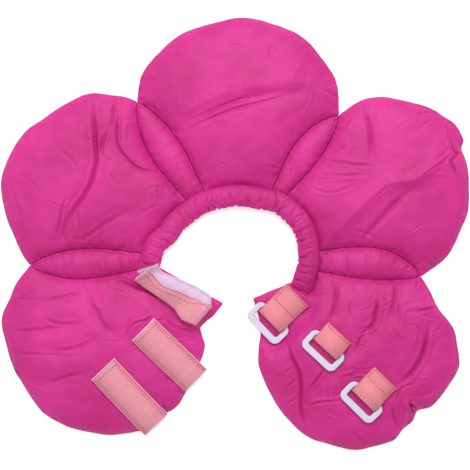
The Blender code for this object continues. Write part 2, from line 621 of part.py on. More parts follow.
def build():
    for thing in list(bpy.data.objects):
        bpy.data.objects.remove(thing)

    taffeta = make_material("fuchsia_taffeta", (0.64, 0.055, 0.28), 0.38)
    webbing = make_material("pink_webbing", (0.76, 0.30, 0.36), 0.7)
    pile = make_material("lilac_pile", (0.70, 0.45, 0.60), 0.9)
    plastic = make_material("white_plastic", (0.80, 0.76, 0.84), 0.3)

    collar = bpy.data.objects.new("collar", None)
    bpy.context.scene.collection.objects.link(collar)
    made = []

    panels = {name: panel(name, petal_loop(name), PETAL_CROWN) for name in PETALS}
    for name in GUSSETS:
        panels[name] = panel(name, gusset_loop(name), GUSSET_CROWN)

    # Tabs: the petal is flat under each one and under its ring
    open_top = surface(panels.values())
    tab_frames = {}
    for key, tab in TABS.items():
        heading = math.radians(tab["heading"])
        direction = np.array([math.cos(heading), math.sin(heading)])
        origin = on_petal(tab["petal"], *tab["sewn"])
        reach = tab["length"] * TAB_LENGTH - PIN_SETBACK + RING_DEPTH
        marks = [0.0, reach / 2, reach]
        levels = [height_at(open_top, origin + direction * d, SEAM_HEIGHT) for d in marks]
        rise = float(np.clip((levels[-1] - levels[0]) / marks[-1], -TAB_SLOPE, TAB_SLOPE))
        start = float(np.mean([level - rise * d for level, d in zip(levels, marks)])) - BED_DEPTH
        profile = [(0.0, start), (reach, start + rise * reach)]
        press(panels[tab["petal"]], origin, direction, profile, RING_LENGTH / 2)
        tab_frames[key] = (origin, direction, rise)

    # Straps: each one beds into the petal along its length
    strap_lines = {}
    for key, strap in FLAT_STRAPS.items():
        heading = math.radians(strap["heading"])
        direction = -np.array([math.cos(heading), math.sin(heading)])
        free = on_petal(strap["petal"], *strap["free"])
        strap_lines[key] = (free - direction * STRAP_LENGTH, direction)
    sewn, fold, free = (on_petal(DOUBLE_STRAP["petal"], *DOUBLE_STRAP[k]) for k in ("sewn", "fold", "free"))
    reach = float(np.linalg.norm(sewn - fold))
    strap_lines["1"] = (fold, (sewn - fold) / reach)
    for key, (origin, direction) in strap_lines.items():
        spots = np.linspace(2 * PANEL_STEP, STRAP_LENGTH, 9)
        levels = [height_at(open_top, origin + direction * d) for d in spots]
        profile = [(d, max(level - BED_DEPTH, SEAM_HEIGHT)) for d, level in zip(spots, levels) if level > 0]
        press(panels["petal_lower_left"], origin, direction, profile, WEBBING_WIDTH / 2)

    for part in panels.values():
        made.append(place(part["name"], panel_mesh(part), taffeta, collar, smooth=True))
    made.append(place("neck_roll", roll_mesh(), taffeta, collar, smooth=True))

    roll = bmesh.new()
    roll.from_mesh(made[-1].data)
    roll.transform(Matrix.Scale(1 / MM, 4))
    roll_part = dict(points=[(v.co.x, v.co.y) for v in roll.verts], heights=[v.co.z for v in roll.verts],
                     triangles=[[v.index for v in face.verts] for face in roll.faces])
    roll.free()
    tree = surface([*panels.values(), roll_part])

    # Flat straps: webbing over pile, turned down over the petal's edge at the folded end
    half = WEBBING_WIDTH / 2
    glue = LAY_GAP / 2
    stack = 2 * glue + LINING_THICKNESS
    for key in FLAT_STRAPS:
        origin, direction = strap_lines[key]
        edge = 0.0
        while height_at(tree, origin + direction * edge) == 0.0:
            edge += 0.5
        spots = list(np.linspace(edge, STRAP_LENGTH, 14))
        base = lay(tree, origin, direction, spots, half)
        path = [(d, h + LINING_THICKNESS + glue) for d, h in zip(spots, base)]
        path.insert(0, (edge - 0.75 * STRAP_LIP, path[0][1] - 0.2 * STRAP_LIP))
        path.insert(0, (edge - STRAP_LIP, max(path[0][1] - 0.6 * STRAP_LIP, 1.0)))
        stations = path_stations(path, origin, direction)
        made.append(place("strap_lining_" + key, ribbon_mesh(stations, glue, glue + LINING_THICKNESS, half),
                          pile, collar))
        short = path_stations(path[:-1] + [(path[-1][0] - 0.8, path[-1][1])], origin, direction)
        made.append(place("strap_" + key, ribbon_mesh(short, -glue - WEBBING_THICKNESS, -glue, half),
                          webbing, collar))

    # The strap by the neck: a lower layer on the petal, a fold, and an upper layer that springs up
    origin, direction = strap_lines["1"]
    spots = list(np.linspace(0.0, reach, 12))
    base = lay(tree, origin, direction, spots, half)
    base[:3] = [max(base[:3])] * 3
    lower = [(d, h + WEBBING_THICKNESS + glue) for d, h in zip(spots, base)]
    stations = [(c, -a, -n) for c, a, n in path_stations(lower, origin, direction)][::-1]
    turn = stack + 1.2
    centre, across, _ = stations[-1]
    outward = Vector((-direction[0], -direction[1], 0))
    for degrees in (-60, -20, 20, 60):
        angle = math.radians(degrees)
        normal = -(outward * math.cos(angle) + Vector((0, 0, math.sin(angle))))
        stations.append((centre + Vector((0, 0, turn)) - normal * turn, across, normal))
    line = free - fold
    reach_up = float(np.linalg.norm(line))
    heading = line / reach_up
    for i in range(1, 13):
        t = i / 12
        tilt = math.asin(min(STRAP_LIFT / WEBBING_WIDTH, 0.9)) * min(1.0, 1.6 * t) * 0.999
        x, y = fold + line * t
        level = max(np.interp(t * reach, spots, [h for _, h in lower]), lower[0][1] + (lower[-1][1] - lower[0][1]) * t)
        z = level + 2 * turn + half * math.sin(tilt)
        side = Vector((heading[1] * math.cos(tilt), -heading[0] * math.cos(tilt), math.sin(tilt)))
        forward = Vector((heading[0], heading[1], 0))
        stations.append((Vector((x, y, z)), side, forward.cross(side).normalized()))
    made.append(place("strap_lining_1", ribbon_mesh(stations, glue, glue + LINING_THICKNESS, half), pile, collar))
    made.append(place("strap_1", ribbon_mesh(stations, -glue - WEBBING_THICKNESS, -glue, half), webbing, collar))

    # Tabs and their rings, which swing on their hidden pins
    for key, tab in TABS.items():
        origin, direction, rise = tab_frames[key]
        length = tab["length"] * TAB_LENGTH
        lean = math.atan(rise)
        across = Vector((direction[1], -direction[0], 0))
        forward = Vector((direction[0] * math.cos(lean), direction[1] * math.cos(lean), math.sin(lean)))
        up = across.cross(forward)
        frame = Matrix((across, forward, up)).transposed().to_4x4()
        level = -1e9
        for s in np.linspace(0, length, 12):
            for side in np.linspace(-half, half, 9):
                spot = origin + direction * s + np.array(across.xy) * side
                level = max(level, height_at(tree, spot) + LAY_GAP - rise * s)
        frame.translation = Vector((origin[0], origin[1], level))
        made.append(place("tab_" + key, tab_mesh(length, frame), webbing, collar))
        pin = tab_profile(length)[2]
        hinge = frame @ Vector((0, pin[0], pin[1]))
        drop = -1e9
        for out in np.linspace(0.25 * RING_DEPTH, RING_DEPTH - RING_PIN / 2, 8):
            for side in np.linspace(-RING_LENGTH / 2, RING_LENGTH / 2, 9):
                spot = hinge + forward * out + across * side
                need = height_at(tree, spot) + LAY_GAP + RING_THICKNESS / 2 - hinge.z
                drop = max(drop, math.atan2(need, out))
        outward = Vector((direction[0] * math.cos(drop), direction[1] * math.cos(drop), math.sin(drop)))
        ring_frame = Matrix((across, outward, across.cross(outward))).transposed().to_4x4()
        ring_frame.translation = hinge
        ring = ring_mesh()
        ring.transform(ring_frame)
        made.append(place("ring_" + key, ring, plastic, collar, frame=ring_frame, smooth=True))

    # Stand the whole on the middle of its underside
    bpy.context.view_layer.update()
    corners = [thing.matrix_world @ vertex.co for thing in made for vertex in thing.data.vertices]
    low = [min(c[i] for c in corners) for i in range(3)]
    high = [max(c[i] for c in corners) for i in range(3)]
    collar.location = (-(low[0] + high[0]) / 2, -(low[1] + high[1]) / 2, -low[2])


build()
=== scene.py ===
# Soft recovery collar for a cat or small dog, opened out, laid flat and seen from above.
# Padded taffeta petals and gussets, a gathered neck roll, ribbed webbing straps and tabs,
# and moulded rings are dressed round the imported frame.
import json
import math

import bmesh
import bpy
import numpy as np
from mathutils import Matrix, Vector, noise
from mathutils.bvhtree import BVHTree
from mathutils.geometry import delaunay_2d_cdt


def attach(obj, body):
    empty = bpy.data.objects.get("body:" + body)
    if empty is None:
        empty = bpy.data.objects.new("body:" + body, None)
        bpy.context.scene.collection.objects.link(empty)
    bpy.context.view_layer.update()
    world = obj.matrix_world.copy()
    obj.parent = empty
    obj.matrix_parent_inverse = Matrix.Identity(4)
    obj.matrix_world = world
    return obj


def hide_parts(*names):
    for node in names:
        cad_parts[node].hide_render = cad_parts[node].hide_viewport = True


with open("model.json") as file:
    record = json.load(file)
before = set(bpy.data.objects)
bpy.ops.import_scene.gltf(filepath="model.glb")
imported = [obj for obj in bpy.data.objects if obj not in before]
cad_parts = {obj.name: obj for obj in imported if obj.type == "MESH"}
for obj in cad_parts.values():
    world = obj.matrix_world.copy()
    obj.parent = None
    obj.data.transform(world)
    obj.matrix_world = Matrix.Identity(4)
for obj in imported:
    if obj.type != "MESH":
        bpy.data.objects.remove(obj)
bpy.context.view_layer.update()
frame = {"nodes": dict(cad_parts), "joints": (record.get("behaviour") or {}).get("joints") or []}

scene = bpy.context.scene
mm = 0.001
pixel = 0.8  # millimetres, from the 25 mm webbing in the photograph
photoMiddle = (234.96, 233.9)
neckCentre = np.array([2.43, -22.48])
farAway = 1e9
noise.seed_set(7)  # noise_vector would start from the clock otherwise, and no two runs would agree
print("frame loaded:", len(frame["nodes"]), "nodes")


def fromPhoto(points):
    # places drawn over the photograph, in millimetres on the floor
    return [np.array([(x - photoMiddle[0]) * pixel, (photoMiddle[1] - y) * pixel]) for x, y in points]


def hexColour(code):
    parts = [int(code[i:i + 2], 16) / 255 for i in (1, 3, 5)]
    return (*[c / 12.92 if c <= 0.04045 else ((c + 0.055) / 1.055) ** 2.4 for c in parts], 1.0)


def addNode(tree, kind, inputs=None, **settings):
    made = tree.nodes.new(kind)
    for key, value in settings.items():
        setattr(made, key, value)
    for key, value in (inputs or {}).items():
        source = value.outputs[0] if isinstance(value, bpy.types.Node) else value
        if isinstance(source, bpy.types.NodeSocket):
            tree.links.new(source, made.inputs[key])
        else:
            made.inputs[key].default_value = source
    return made


def startMaterial(name, levels):
    material = bpy.data.materials.new(name)
    material.use_nodes = True
    tree = material.node_tree
    shader = tree.nodes["Principled BSDF"]
    for label, level in levels.items():
        shader.inputs[label].default_value = level
    return material, tree, shader, addNode(tree, "ShaderNodeTexCoord").outputs["Object"]


def spread(tree, pattern, low, high):
    return addNode(tree, "ShaderNodeMapRange", {"Value": pattern, "From Min": low, "From Max": high})


def mixed(tree, share, first, second):
    first, second = (hexColour(c) if isinstance(c, str) else c for c in (first, second))
    return addNode(tree, "ShaderNodeMix", {0: share, 6: first, 7: second}, data_type="RGBA").outputs[2]


def relief(tree, height, strength, depth, **under):
    return addNode(tree, "ShaderNodeBump", {"Height": height, "Strength": strength, "Distance": depth * mm, **under})


def dress(tree, shader, colour, surface=None):
    tree.links.new(colour, shader.inputs["Base Color"])
    if surface:
        tree.links.new(surface.outputs[0], shader.inputs["Normal"])


# deep is a painted shade colour: the dye turns towards it in seams, fold hollows and the neck roll's gathers
taffetaLook = dict(lit="#CD2B88", mid="#BC1F79", deep="#96084C", sheen="#FF7CC0", thread=0.8, crinkle=7.0)


def polyesterTaffeta(look):
    # Polyester taffeta, piece dyed and calendered: a close plain weave with a soft silky sheen.
    # Its threads are 0.1 mm apart, so they are drawn 0.8 mm apart to show at all.
    material, tree, shader, place = startMaterial("polyester taffeta", {
        "Roughness": 0.58, "IOR": 1.5, "Specular IOR Level": 0.32, "Sheen Weight": 0.12, "Sheen Roughness": 0.4,
        "Sheen Tint": hexColour(look["sheen"])})
    mottle = addNode(tree, "ShaderNodeTexNoise", {"Vector": place, "Scale": 22.0, "Detail": 2.0})
    dyed = mixed(tree, spread(tree, mottle, 0.35, 0.65), look["lit"], look["mid"])
    # painted shade: the seamShade attribute darkens the dye towards the deep colour where shade falls in seams and
    # fold hollows
    seams = addNode(tree, "ShaderNodeAttribute", attribute_name="seamShade").outputs["Fac"]
    bands = [addNode(tree, "ShaderNodeTexWave", {"Vector": place, "Scale": 0.314 / (look["thread"] * mm),
                     "Distortion": 1.5, "Detail": 1.0}, bands_direction=direction) for direction in ("X", "Y")]
    weave = addNode(tree, "ShaderNodeMath", {0: bands[0], 1: bands[1]}, operation="MULTIPLY")
    crumple = addNode(tree, "ShaderNodeTexNoise", {"Vector": place, "Scale": 1 / (look["crinkle"] * mm),
                      "Detail": 4.0, "Roughness": 0.55, "Distortion": 0.6})
    soft = relief(tree, crumple, 0.3, 0.9)
    dress(tree, shader, mixed(tree, seams, dyed, look["deep"]), relief(tree, weave, 0.12, 0.1, Normal=soft))
    return material


def grained(name, colours, pattern, levels, depth=None, span=(0.0, 1.0)):
    # a material whose colour and relief both follow one fine pattern
    material, tree, shader, place = startMaterial(name, levels)
    kind, grain = pattern
    made = addNode(tree, "ShaderNodeTex" + kind, {"Vector": place, **grain})
    dress(tree, shader, mixed(tree, spread(tree, made, *span), *colours), depth and relief(tree, made, *depth))
    return material


def polyesterWebbing(name, look):
    # Woven polyester webbing, ribbed across: spun yarn, dull, with painted shade: a little darker between the picks,
    # where the same fine pattern sinks the relief
    pattern = "Noise", {"Scale": 1 / (look["pick"] * mm), "Detail": 3.0, "Roughness": 0.6}
    levels = {"Roughness": 0.72, "IOR": 1.5, "Sheen Weight": 0.15}
    return grained(name, look[name], pattern, levels, (0.4, 0.2), (0.3, 0.7))


def loopPile(look):
    # Brushed nylon loop pile: pale lilac, matt and fuzzy, its loops 0.5 mm apart
    levels = {"Roughness": 0.95, "IOR": 1.53, "Sheen Weight": 0.6}
    pattern = "Voronoi", {"Scale": 1 / (look["loop"] * mm)}
    return grained("nylon loop pile", look["pile"], pattern, levels, (0.6, 0.3))


def mouldedAcetal(look):
    # Injection moulded acetal: smooth satin white with a faint lilac cast and a waxy depth
    levels = {"Roughness": 0.34, "IOR": 1.48, "Subsurface Weight": 0.25, "Subsurface Radius": (0.002, 0.0016, 0.0018)}
    return grained("moulded acetal", look["acetal"], ("Noise", {"Scale": 120.0, "Detail": 2.0}), levels, (0.1, 0.1))


def sewingThread(name, look):
    # Spun polyester sewing thread: matt, a shade deeper than the cloth it holds
    return grained(name, look[name], ("Noise", {"Scale": 900.0}), {"Roughness": 0.6, "IOR": 1.5})


# the two ground colours are painted shade: darker webbing that shows between the ribs, where shade falls in the
# grooves
trimLook = {
    "polyester webbing": ("#EA9BAC", "#F6B0BE"), "shaded webbing ground": ("#B95E72", "#CC7084"),
    "coral webbing": ("#EC929D", "#F7A3AC"), "shaded coral ground": ("#B95063", "#C9606F"),
    "fuchsia thread": ("#8E0048", "#8A1048"), "rose thread": ("#C9566C", "#8A1048"),
    "pile": ("#EBD6EA", "#CDA6CC"), "acetal": ("#DDD6E4", "#D0C8DC"), "pick": 0.55, "loop": 0.5,
}
taffeta = polyesterTaffeta(taffetaLook)
webbing, webbingGroundShade, tabWebbing, tabGroundShade = (
    polyesterWebbing(name, trimLook)
    for name in ("polyester webbing", "shaded webbing ground", "coral webbing", "shaded coral ground"))
pile = loopPile(trimLook)
acetal = mouldedAcetal(trimLook)
seamThread, strapThread = (sewingThread(name, trimLook) for name in ("fuchsia thread", "rose thread"))
print("materials made")


def addObject(name, data):
    thing = bpy.data.objects.new(name, data)
    scene.collection.objects.link(thing)
    return thing


def plainObject(name, points, faces):
    data = bpy.data.meshes.new(name)
    data.from_pydata([tuple(p) for p in points], [], [tuple(f) for f in faces])
    return addObject(name, data)


def takeMesh(thing):
    # the object's mesh as its modifiers leave it, and the object itself goes
    bpy.context.view_layer.update()
    data = bpy.data.meshes.new_from_object(thing.evaluated_get(bpy.context.evaluated_depsgraph_get()))
    bpy.data.objects.remove(thing)
    return data


def takePoints(thing):
    # the points and faces of that mesh, which goes too
    data = takeMesh(thing)
    places = np.empty(len(data.vertices) * 3)
    data.vertices.foreach_get("co", places)
    faces = [tuple(face.vertices) for face in data.polygons]
    bpy.data.meshes.remove(data)
    return places.reshape(-1, 3), faces


def meshFrom(mesh, name):
    data = bpy.data.meshes.new(name)
    mesh.to_mesh(data)
    mesh.free()
    data.shade_smooth()
    return data


def facedOutward(data):
    mesh = bmesh.new()
    mesh.from_mesh(data)
    bmesh.ops.remove_doubles(mesh, verts=mesh.verts, dist=1e-7)
    bmesh.ops.recalc_face_normals(mesh, faces=mesh.faces)
    mesh.to_mesh(data)
    mesh.free()
    return data


def finishPiece(name, data, nodes=(), body="collar", material=None):
    data.name = name
    if material:
        data.materials.append(material)
    thing = addObject(name, data)
    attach(thing, body)
    if nodes:
        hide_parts(*nodes)
    return thing


def surfaceOf(meshes, unit=mm):
    # the meshes' surfaces together, to measure heights on
    points, faces = [], []
    for data in meshes:
        faces += [[len(points) + v for v in face.vertices] for face in data.polygons]
        points += [v.co / unit for v in data.vertices]
    return BVHTree.FromPolygons(points, faces)


def mergedCopy(node):
    mesh = bmesh.new()
    mesh.from_mesh(frame["nodes"][node].data)
    bmesh.ops.remove_doubles(mesh, verts=mesh.verts, dist=1e-6)
    return mesh


def bend(p0, p1, p2, p3, t):
    return 0.5 * (2 * p1 + (p2 - p0) * t + (2 * p0 - 5 * p1 + 4 * p2 - p3) * t ** 2
                  + (3 * p1 - p0 - 3 * p2 + p3) * t ** 3)


def smoothLine(points, step, closed=False):
    # a smooth curve through the points that keeps their sharp corners
    count = len(points)

    def isCorner(i):
        if not closed and i in (0, count - 1):
            return True
        before, here, after = points[i - 1], points[i], points[(i + 1) % count]
        a, b = here - before, after - here
        return float(a @ b) / (np.linalg.norm(a) * np.linalg.norm(b)) < 0.62

    corners = [isCorner(i) for i in range(count)]
    line = [] if closed else [points[0]]
    for i in range(count if closed else count - 1):
        j = (i + 1) % count
        p1, p2 = points[i], points[j]
        p0 = 2 * p1 - p2 if corners[i] else points[i - 1]
        p3 = 2 * p2 - p1 if corners[j] else points[(j + 1) % count]
        pieces = max(1, round(float(np.linalg.norm(p2 - p1)) / step))
        line += [bend(p0, p1, p2, p3, k / pieces) for k in range(1, pieces + 1)]
    return line


def runOf(line):
    # the length along the line up to each of its points
    return np.concatenate([[0], np.cumsum([np.linalg.norm(b - a) for a, b in zip(line, line[1:])])])


def paces(lengths, pitch, first, last=farAway):
    # at every pitch along a line, from first to last: the number of the piece there, and the share of it
    run, due = 0.0, first
    for i, length in enumerate(lengths):
        while due <= min(run + length, last):
            yield i, (due - run) / length
            due += pitch
        run += length


def inset(loop, distance):
    # the loop runs anticlockwise, so inwards is to its left
    moved = []
    for before, point, after in zip([loop[-1]] + loop[:-1], loop, loop[1:] + loop[:1]):
        first = (point - before) / np.linalg.norm(point - before)
        second = (after - point) / np.linalg.norm(after - point)
        normal = np.array([-first[1] - second[1], first[0] + second[0]])
        moved.append(point + normal / max(1.0 + float(first @ second), 0.5) * distance)
    return moved


def lineField(points, line):
    # for each point: distance from the line, which side it is on, and the length along the line
    nearest = np.full(len(points), 1e9)
    side = np.zeros(len(points))
    along = np.zeros(len(points))
    run = 0.0
    for a, b in zip(line, line[1:]):
        step = b - a
        length = float(np.linalg.norm(step))
        share = np.clip(((points - a) @ step) / length ** 2, 0, 1)
        offset = points - a - share[:, None] * step
        distance = np.linalg.norm(offset, axis=1)
        better = distance < nearest
        nearest[better] = distance[better]
        side[better] = np.sign(step[0] * offset[:, 1] - step[1] * offset[:, 0])[better]
        along[better] = (run + share * length)[better]
        run += length
    return nearest, side, along, run


def insideLoop(points, loop):
    result = np.zeros(len(points), dtype=bool)
    for a, b in zip(loop, loop[1:] + loop[:1]):
        if a[1] != b[1]:
            crosses = (a[1] > points[:, 1]) != (b[1] > points[:, 1])
            x = a[0] + (points[:, 1] - a[1]) * (b[0] - a[0]) / (b[1] - a[1])
            result ^= crosses & (points[:, 0] < x)
    return result


def sheetMesh(loop, spacing):
    # the loop's points first, then a lattice inside it, and the triangles between them
    corners = np.array(loop)
    low, high = corners.min(0), corners.max(0)
    lattice = []
    for row, y in enumerate(np.arange(low[1], high[1], spacing * math.sqrt(0.75))):
        lattice += [(x, y) for x in np.arange(low[0] + row % 2 * spacing / 2, high[0], spacing)]
    lattice = np.array(lattice)
    lattice = lattice[insideLoop(lattice, loop)]
    away = lineField(lattice, loop + loop[:1])[0]
    points = np.vstack([corners, lattice[away > 0.62 * spacing]])
    edges = [(i, (i + 1) % len(loop)) for i in range(len(loop))]
    made = delaunay_2d_cdt([Vector(p) for p in points], edges, [], 1, 1e-5)
    source = [ids[0] for ids in made[3]]
    return points, [tuple(source[i] for i in face) for face in made[2]]


def smoothed(heights, triangles, rounds, fixed):
    faces = np.array(triangles)
    a = np.concatenate([faces[:, 0], faces[:, 1], faces[:, 2]])
    b = np.concatenate([faces[:, 1], faces[:, 2], faces[:, 0]])
    ends = np.concatenate([a, b]), np.concatenate([b, a])
    number = np.bincount(ends[0], minlength=len(heights))
    for _ in range(rounds):
        mean = np.bincount(ends[0], heights[ends[1]], len(heights)) / np.maximum(number, 1)
        moved = 0.5 * heights + 0.5 * mean
        heights = np.where(fixed, heights, moved)
    return heights


def ripple(x, y, size, layer):
    return noise.noise(Vector((x / size, y / size, layer)))


# Folds of each padded panel: depth in mm (a ridge is negative), width in mm, its line in the photograph, and
# where the cloth laps over itself, how far its left side stands above its right
folds = {
    "petal_top": [
        (0.8, 1.3, [(153, 102), (154, 107), (154.5, 113)]),
        (0.5, 1.4, [(160, 121), (168, 128), (177, 132)]),
        (0.9, 2.0, [(191, 122), (216, 110), (231, 103.5), (251, 97)]),
        (-0.9, 2.4, [(190, 125), (231, 108.5), (267, 100), (292, 94)]),
        (0.8, 2.2, [(183, 133), (211, 119), (251, 105.5), (297, 93)]),
        (0.6, 1.6, [(268, 166), (276, 168), (283, 168)]),
        (0.7, 2.0, [(323, 90), (330, 93), (338, 97)]),
    ],
    "petal_upper_right": [
        (0.8, 1.4, [(332, 129), (343, 127), (352, 117)]),
        (0.7, 1.4, [(323, 156), (336, 151), (349, 145)]),
        (0.6, 1.4, [(313, 180), (325, 179), (340, 178)]),
        (0.5, 1.6, [(303, 185), (328, 193), (355, 186)]),
        (-0.9, 1.8, [(434, 165), (443, 158), (451, 150)]),
        (1.1, 2.4, [(362, 107), (368, 124), (370, 142), (371, 158)]),
        (0.9, 1.8, [(317, 158), (345, 164), (375, 167)]),
        (0.7, 1.8, [(313, 174), (340, 176), (367, 175)]),
        (-0.7, 5.0, [(320, 247), (343, 224), (364, 203), (386, 184.5), (416.5, 178), (449, 147)]),
        (1.2, 3.0, [(360, 243.5), (374, 226), (396, 202), (411, 190)]),
        (1.7, 2.0, [(449, 135), (453, 151), (457, 154), (450, 162), (454, 171), (458, 183)]),
    ],
    "petal_lower_right": [
        (1.9, 1.7, [(284, 338), (288, 347), (292, 357), (296, 365), (300, 375), (301, 390), (301, 405),
                    (303.6, 420), (307, 432)], 1.1),
        (1.3, 1.5, [(325, 368), (316, 379), (307, 391)]),
        (1.1, 1.5, [(305, 406), (319, 401.5), (340, 400)]),
        (0.9, 1.5, [(352, 430), (358, 437), (364, 443)]),
        (1.1, 1.6, [(394, 402), (401, 387), (415, 382.5)]),
        (-1.0, 2.2, [(409, 399), (427, 397.5), (436, 391), (439, 382)]),
        (1.3, 2.0, [(391, 405), (394, 417), (397, 429)]),
        (1.2, 1.3, [(419, 276), (417, 282), (415, 288)]),
        (1.2, 1.5, [(427, 291), (432, 298), (437, 305)]),
        (1.4, 1.6, [(438, 307), (428, 309), (415, 311.5)]),
        (1.2, 1.8, [(355, 350), (359.5, 338.5), (367, 332.5)]),
        (-0.8, 1.6, [(286, 331), (295, 328), (307, 328)]),
        (-0.8, 1.6, [(337, 375), (346, 372), (355, 370)]),
        (1.3, 2.4, [(335, 282), (336, 295), (334, 308), (330, 320)]),
        (0.7, 1.8, [(350, 299.5), (349, 309), (348, 319)]),
        (1.9, 2.2, [(378, 297), (375, 313), (371, 325), (360, 333)]),
        (1.2, 2.2, [(396, 281), (394, 297), (389, 318)]),
        (0.8, 1.8, [(395.5, 300), (399, 315), (399, 325)]),
        (0.6, 1.6, [(390, 325), (401, 341)]),
        (-0.8, 2.4, [(432, 304), (417, 306), (403, 309)]),
        (2.0, 2.6, [(429, 325), (423, 350), (418, 362), (408, 375), (397, 384.5)]),
        (-2.2, 2.4, [(405.5, 398), (404, 411), (403, 426)]),
        (2.4, 1.8, [(409, 401), (411, 407), (413, 414)]),
        (1.8, 1.4, [(407, 404), (413, 406), (420, 410)]),
        (0.8, 1.4, [(286, 372), (293, 366)]),
        (0.8, 1.4, [(286, 388), (296, 379)]),
        (0.8, 1.4, [(288, 403), (298, 396)]),
        (0.7, 1.4, [(268, 352), (280, 347)]),
    ],
    "petal_upper_left": [
        (0.5, 2.2, [(9, 184), (19.5, 208), (24, 235)]),
        (0.4, 2.2, [(57, 147), (75, 163), (81, 177)]),
        (1.9, 2.0, [(92, 99), (95, 125), (97.6, 155), (97, 164), (92.6, 181), (86, 194), (78, 205.5),
                    (70.6, 217), (67, 225), (63, 239)], 0.8),
        (1.2, 1.6, [(109.5, 128), (104, 142), (101, 157)]),
        (-1.0, 2.4, [(103, 120), (100, 140), (100, 152)]),
        (1.0, 1.8, [(68, 196), (64, 207), (61, 222), (58, 236)]),
        (0.9, 2.2, [(79, 243), (90, 235), (102, 227), (113, 220), (126, 213)]),
        (1.6, 1.4, [(119, 101), (117.5, 123), (118.5, 145), (129, 160), (142, 169.7), (162.7, 172)], 0.7),
        (1.2, 1.8, [(115, 101), (114, 115), (114, 128)]),
    ],
    "petal_lower_left": [
        (1.8, 1.7, [(112, 277), (129, 284), (150, 292), (166, 300)]),
        (1.2, 1.5, [(115, 273), (135, 282), (158, 295)]),
        (1.2, 1.5, [(129, 334), (135, 323.4), (151, 318)]),
        (1.1, 2.0, [(163, 316), (180, 328), (197, 332)]),
        (1.1, 1.2, [(162, 401), (164, 405), (167, 410)]),
        (0.9, 1.2, [(176, 390), (180, 392), (184, 394)]),
        (1.0, 1.5, [(187, 316), (193, 325), (199, 334)]),
        (1.0, 1.5, [(153, 315), (146, 321), (139, 324)]),
        (0.9, 1.5, [(131, 316), (129, 327), (127, 338)]),
        (0.9, 2.0, [(46, 301), (68, 296), (87, 292)]),
        (0.9, 2.0, [(46, 318), (58, 323), (85, 323)]),
        (0.9, 2.0, [(12, 331), (42, 329), (73, 324)]),
        (0.8, 2.0, [(56, 351), (78, 347), (94.5, 340)]),
        (0.8, 2.0, [(46, 384.5), (68, 376), (85, 372)]),
        (0.6, 1.8, [(15, 353), (45, 354), (79, 355)]),
        (1.1, 2.4, [(87, 293.6), (97, 310.6), (105.5, 325), (116, 335)]),
    ],
    "gusset_left": [
        (0.9, 1.2, [(118, 251), (121, 262), (124, 271)]),
        (0.9, 1.2, [(129, 253), (131, 262), (133, 269)]),
        (0.6, 1.4, [(104, 252), (106, 264), (108, 275)]),
    ],
    "gusset_upper_left": [(0.5, 1.6, [(176, 160), (180, 175), (184, 190)])],
    "gusset_upper_right": [(0.5, 1.6, [(300, 150), (294, 165), (286, 182)])],
    "gusset_right": [
        (0.9, 1.2, [(346, 250), (347, 262), (348, 274)]),
        (0.7, 1.2, [(330, 251), (331, 261), (333, 271)]),
        (0.6, 1.4, [(366, 251), (367, 264), (366, 277)]),
    ],
}

paddingLook = dict(
    border=1.6, lattice=1.65, underLattice=3.6, seamHeight=1.4, overlap=0.2, seamPull=0.3,
    pucker=0.95, crumple=0.6, strapGap=0.25, foldDepth=1.3, foldWidth=0.72, fill=0.6,
    minor=dict(petal_lower_left=26, petal_lower_right=30, petal_upper_right=20, petal_upper_left=18, petal_top=9),
)
clothLook = dict(
    grow=10.0, frames=18, pressure=1.5, hold=0.4, slack=0.03, tightSlack=0.004, cap=2.2, bending=14.0, ease=2,
    stiffness=25.0, shear=12.0, mass=0.3, damping=4.0, pins=2.0, quality=5,
)


def seamLoop(node):
    # the line round a padded panel where its top and its underside are sewn together
    mesh = mergedCopy(node)
    under = {v for v in mesh.verts if v.co.z < 1e-5}
    nextTo = {}
    for edge in mesh.edges:
        a, b = edge.verts
        if a in under or b in under:
            continue
        if sum(any(v in under for v in face.verts) for face in edge.link_faces) == 1:
            nextTo.setdefault(a, []).append(b)
            nextTo.setdefault(b, []).append(a)
    start = next(iter(nextTo))
    loop = [start, nextTo[start][0]]
    while loop[-1] is not start:
        loop.append(next(v for v in nextTo[loop[-1]] if v is not loop[-2]))
    points = [np.array(v.co.xy) / mm for v in loop[:-1]]
    mesh.free()
    turn = sum(a[0] * b[1] - a[1] * b[0] for a, b in zip(points, points[1:] + points[:1]))
    return points if turn > 0 else points[::-1]


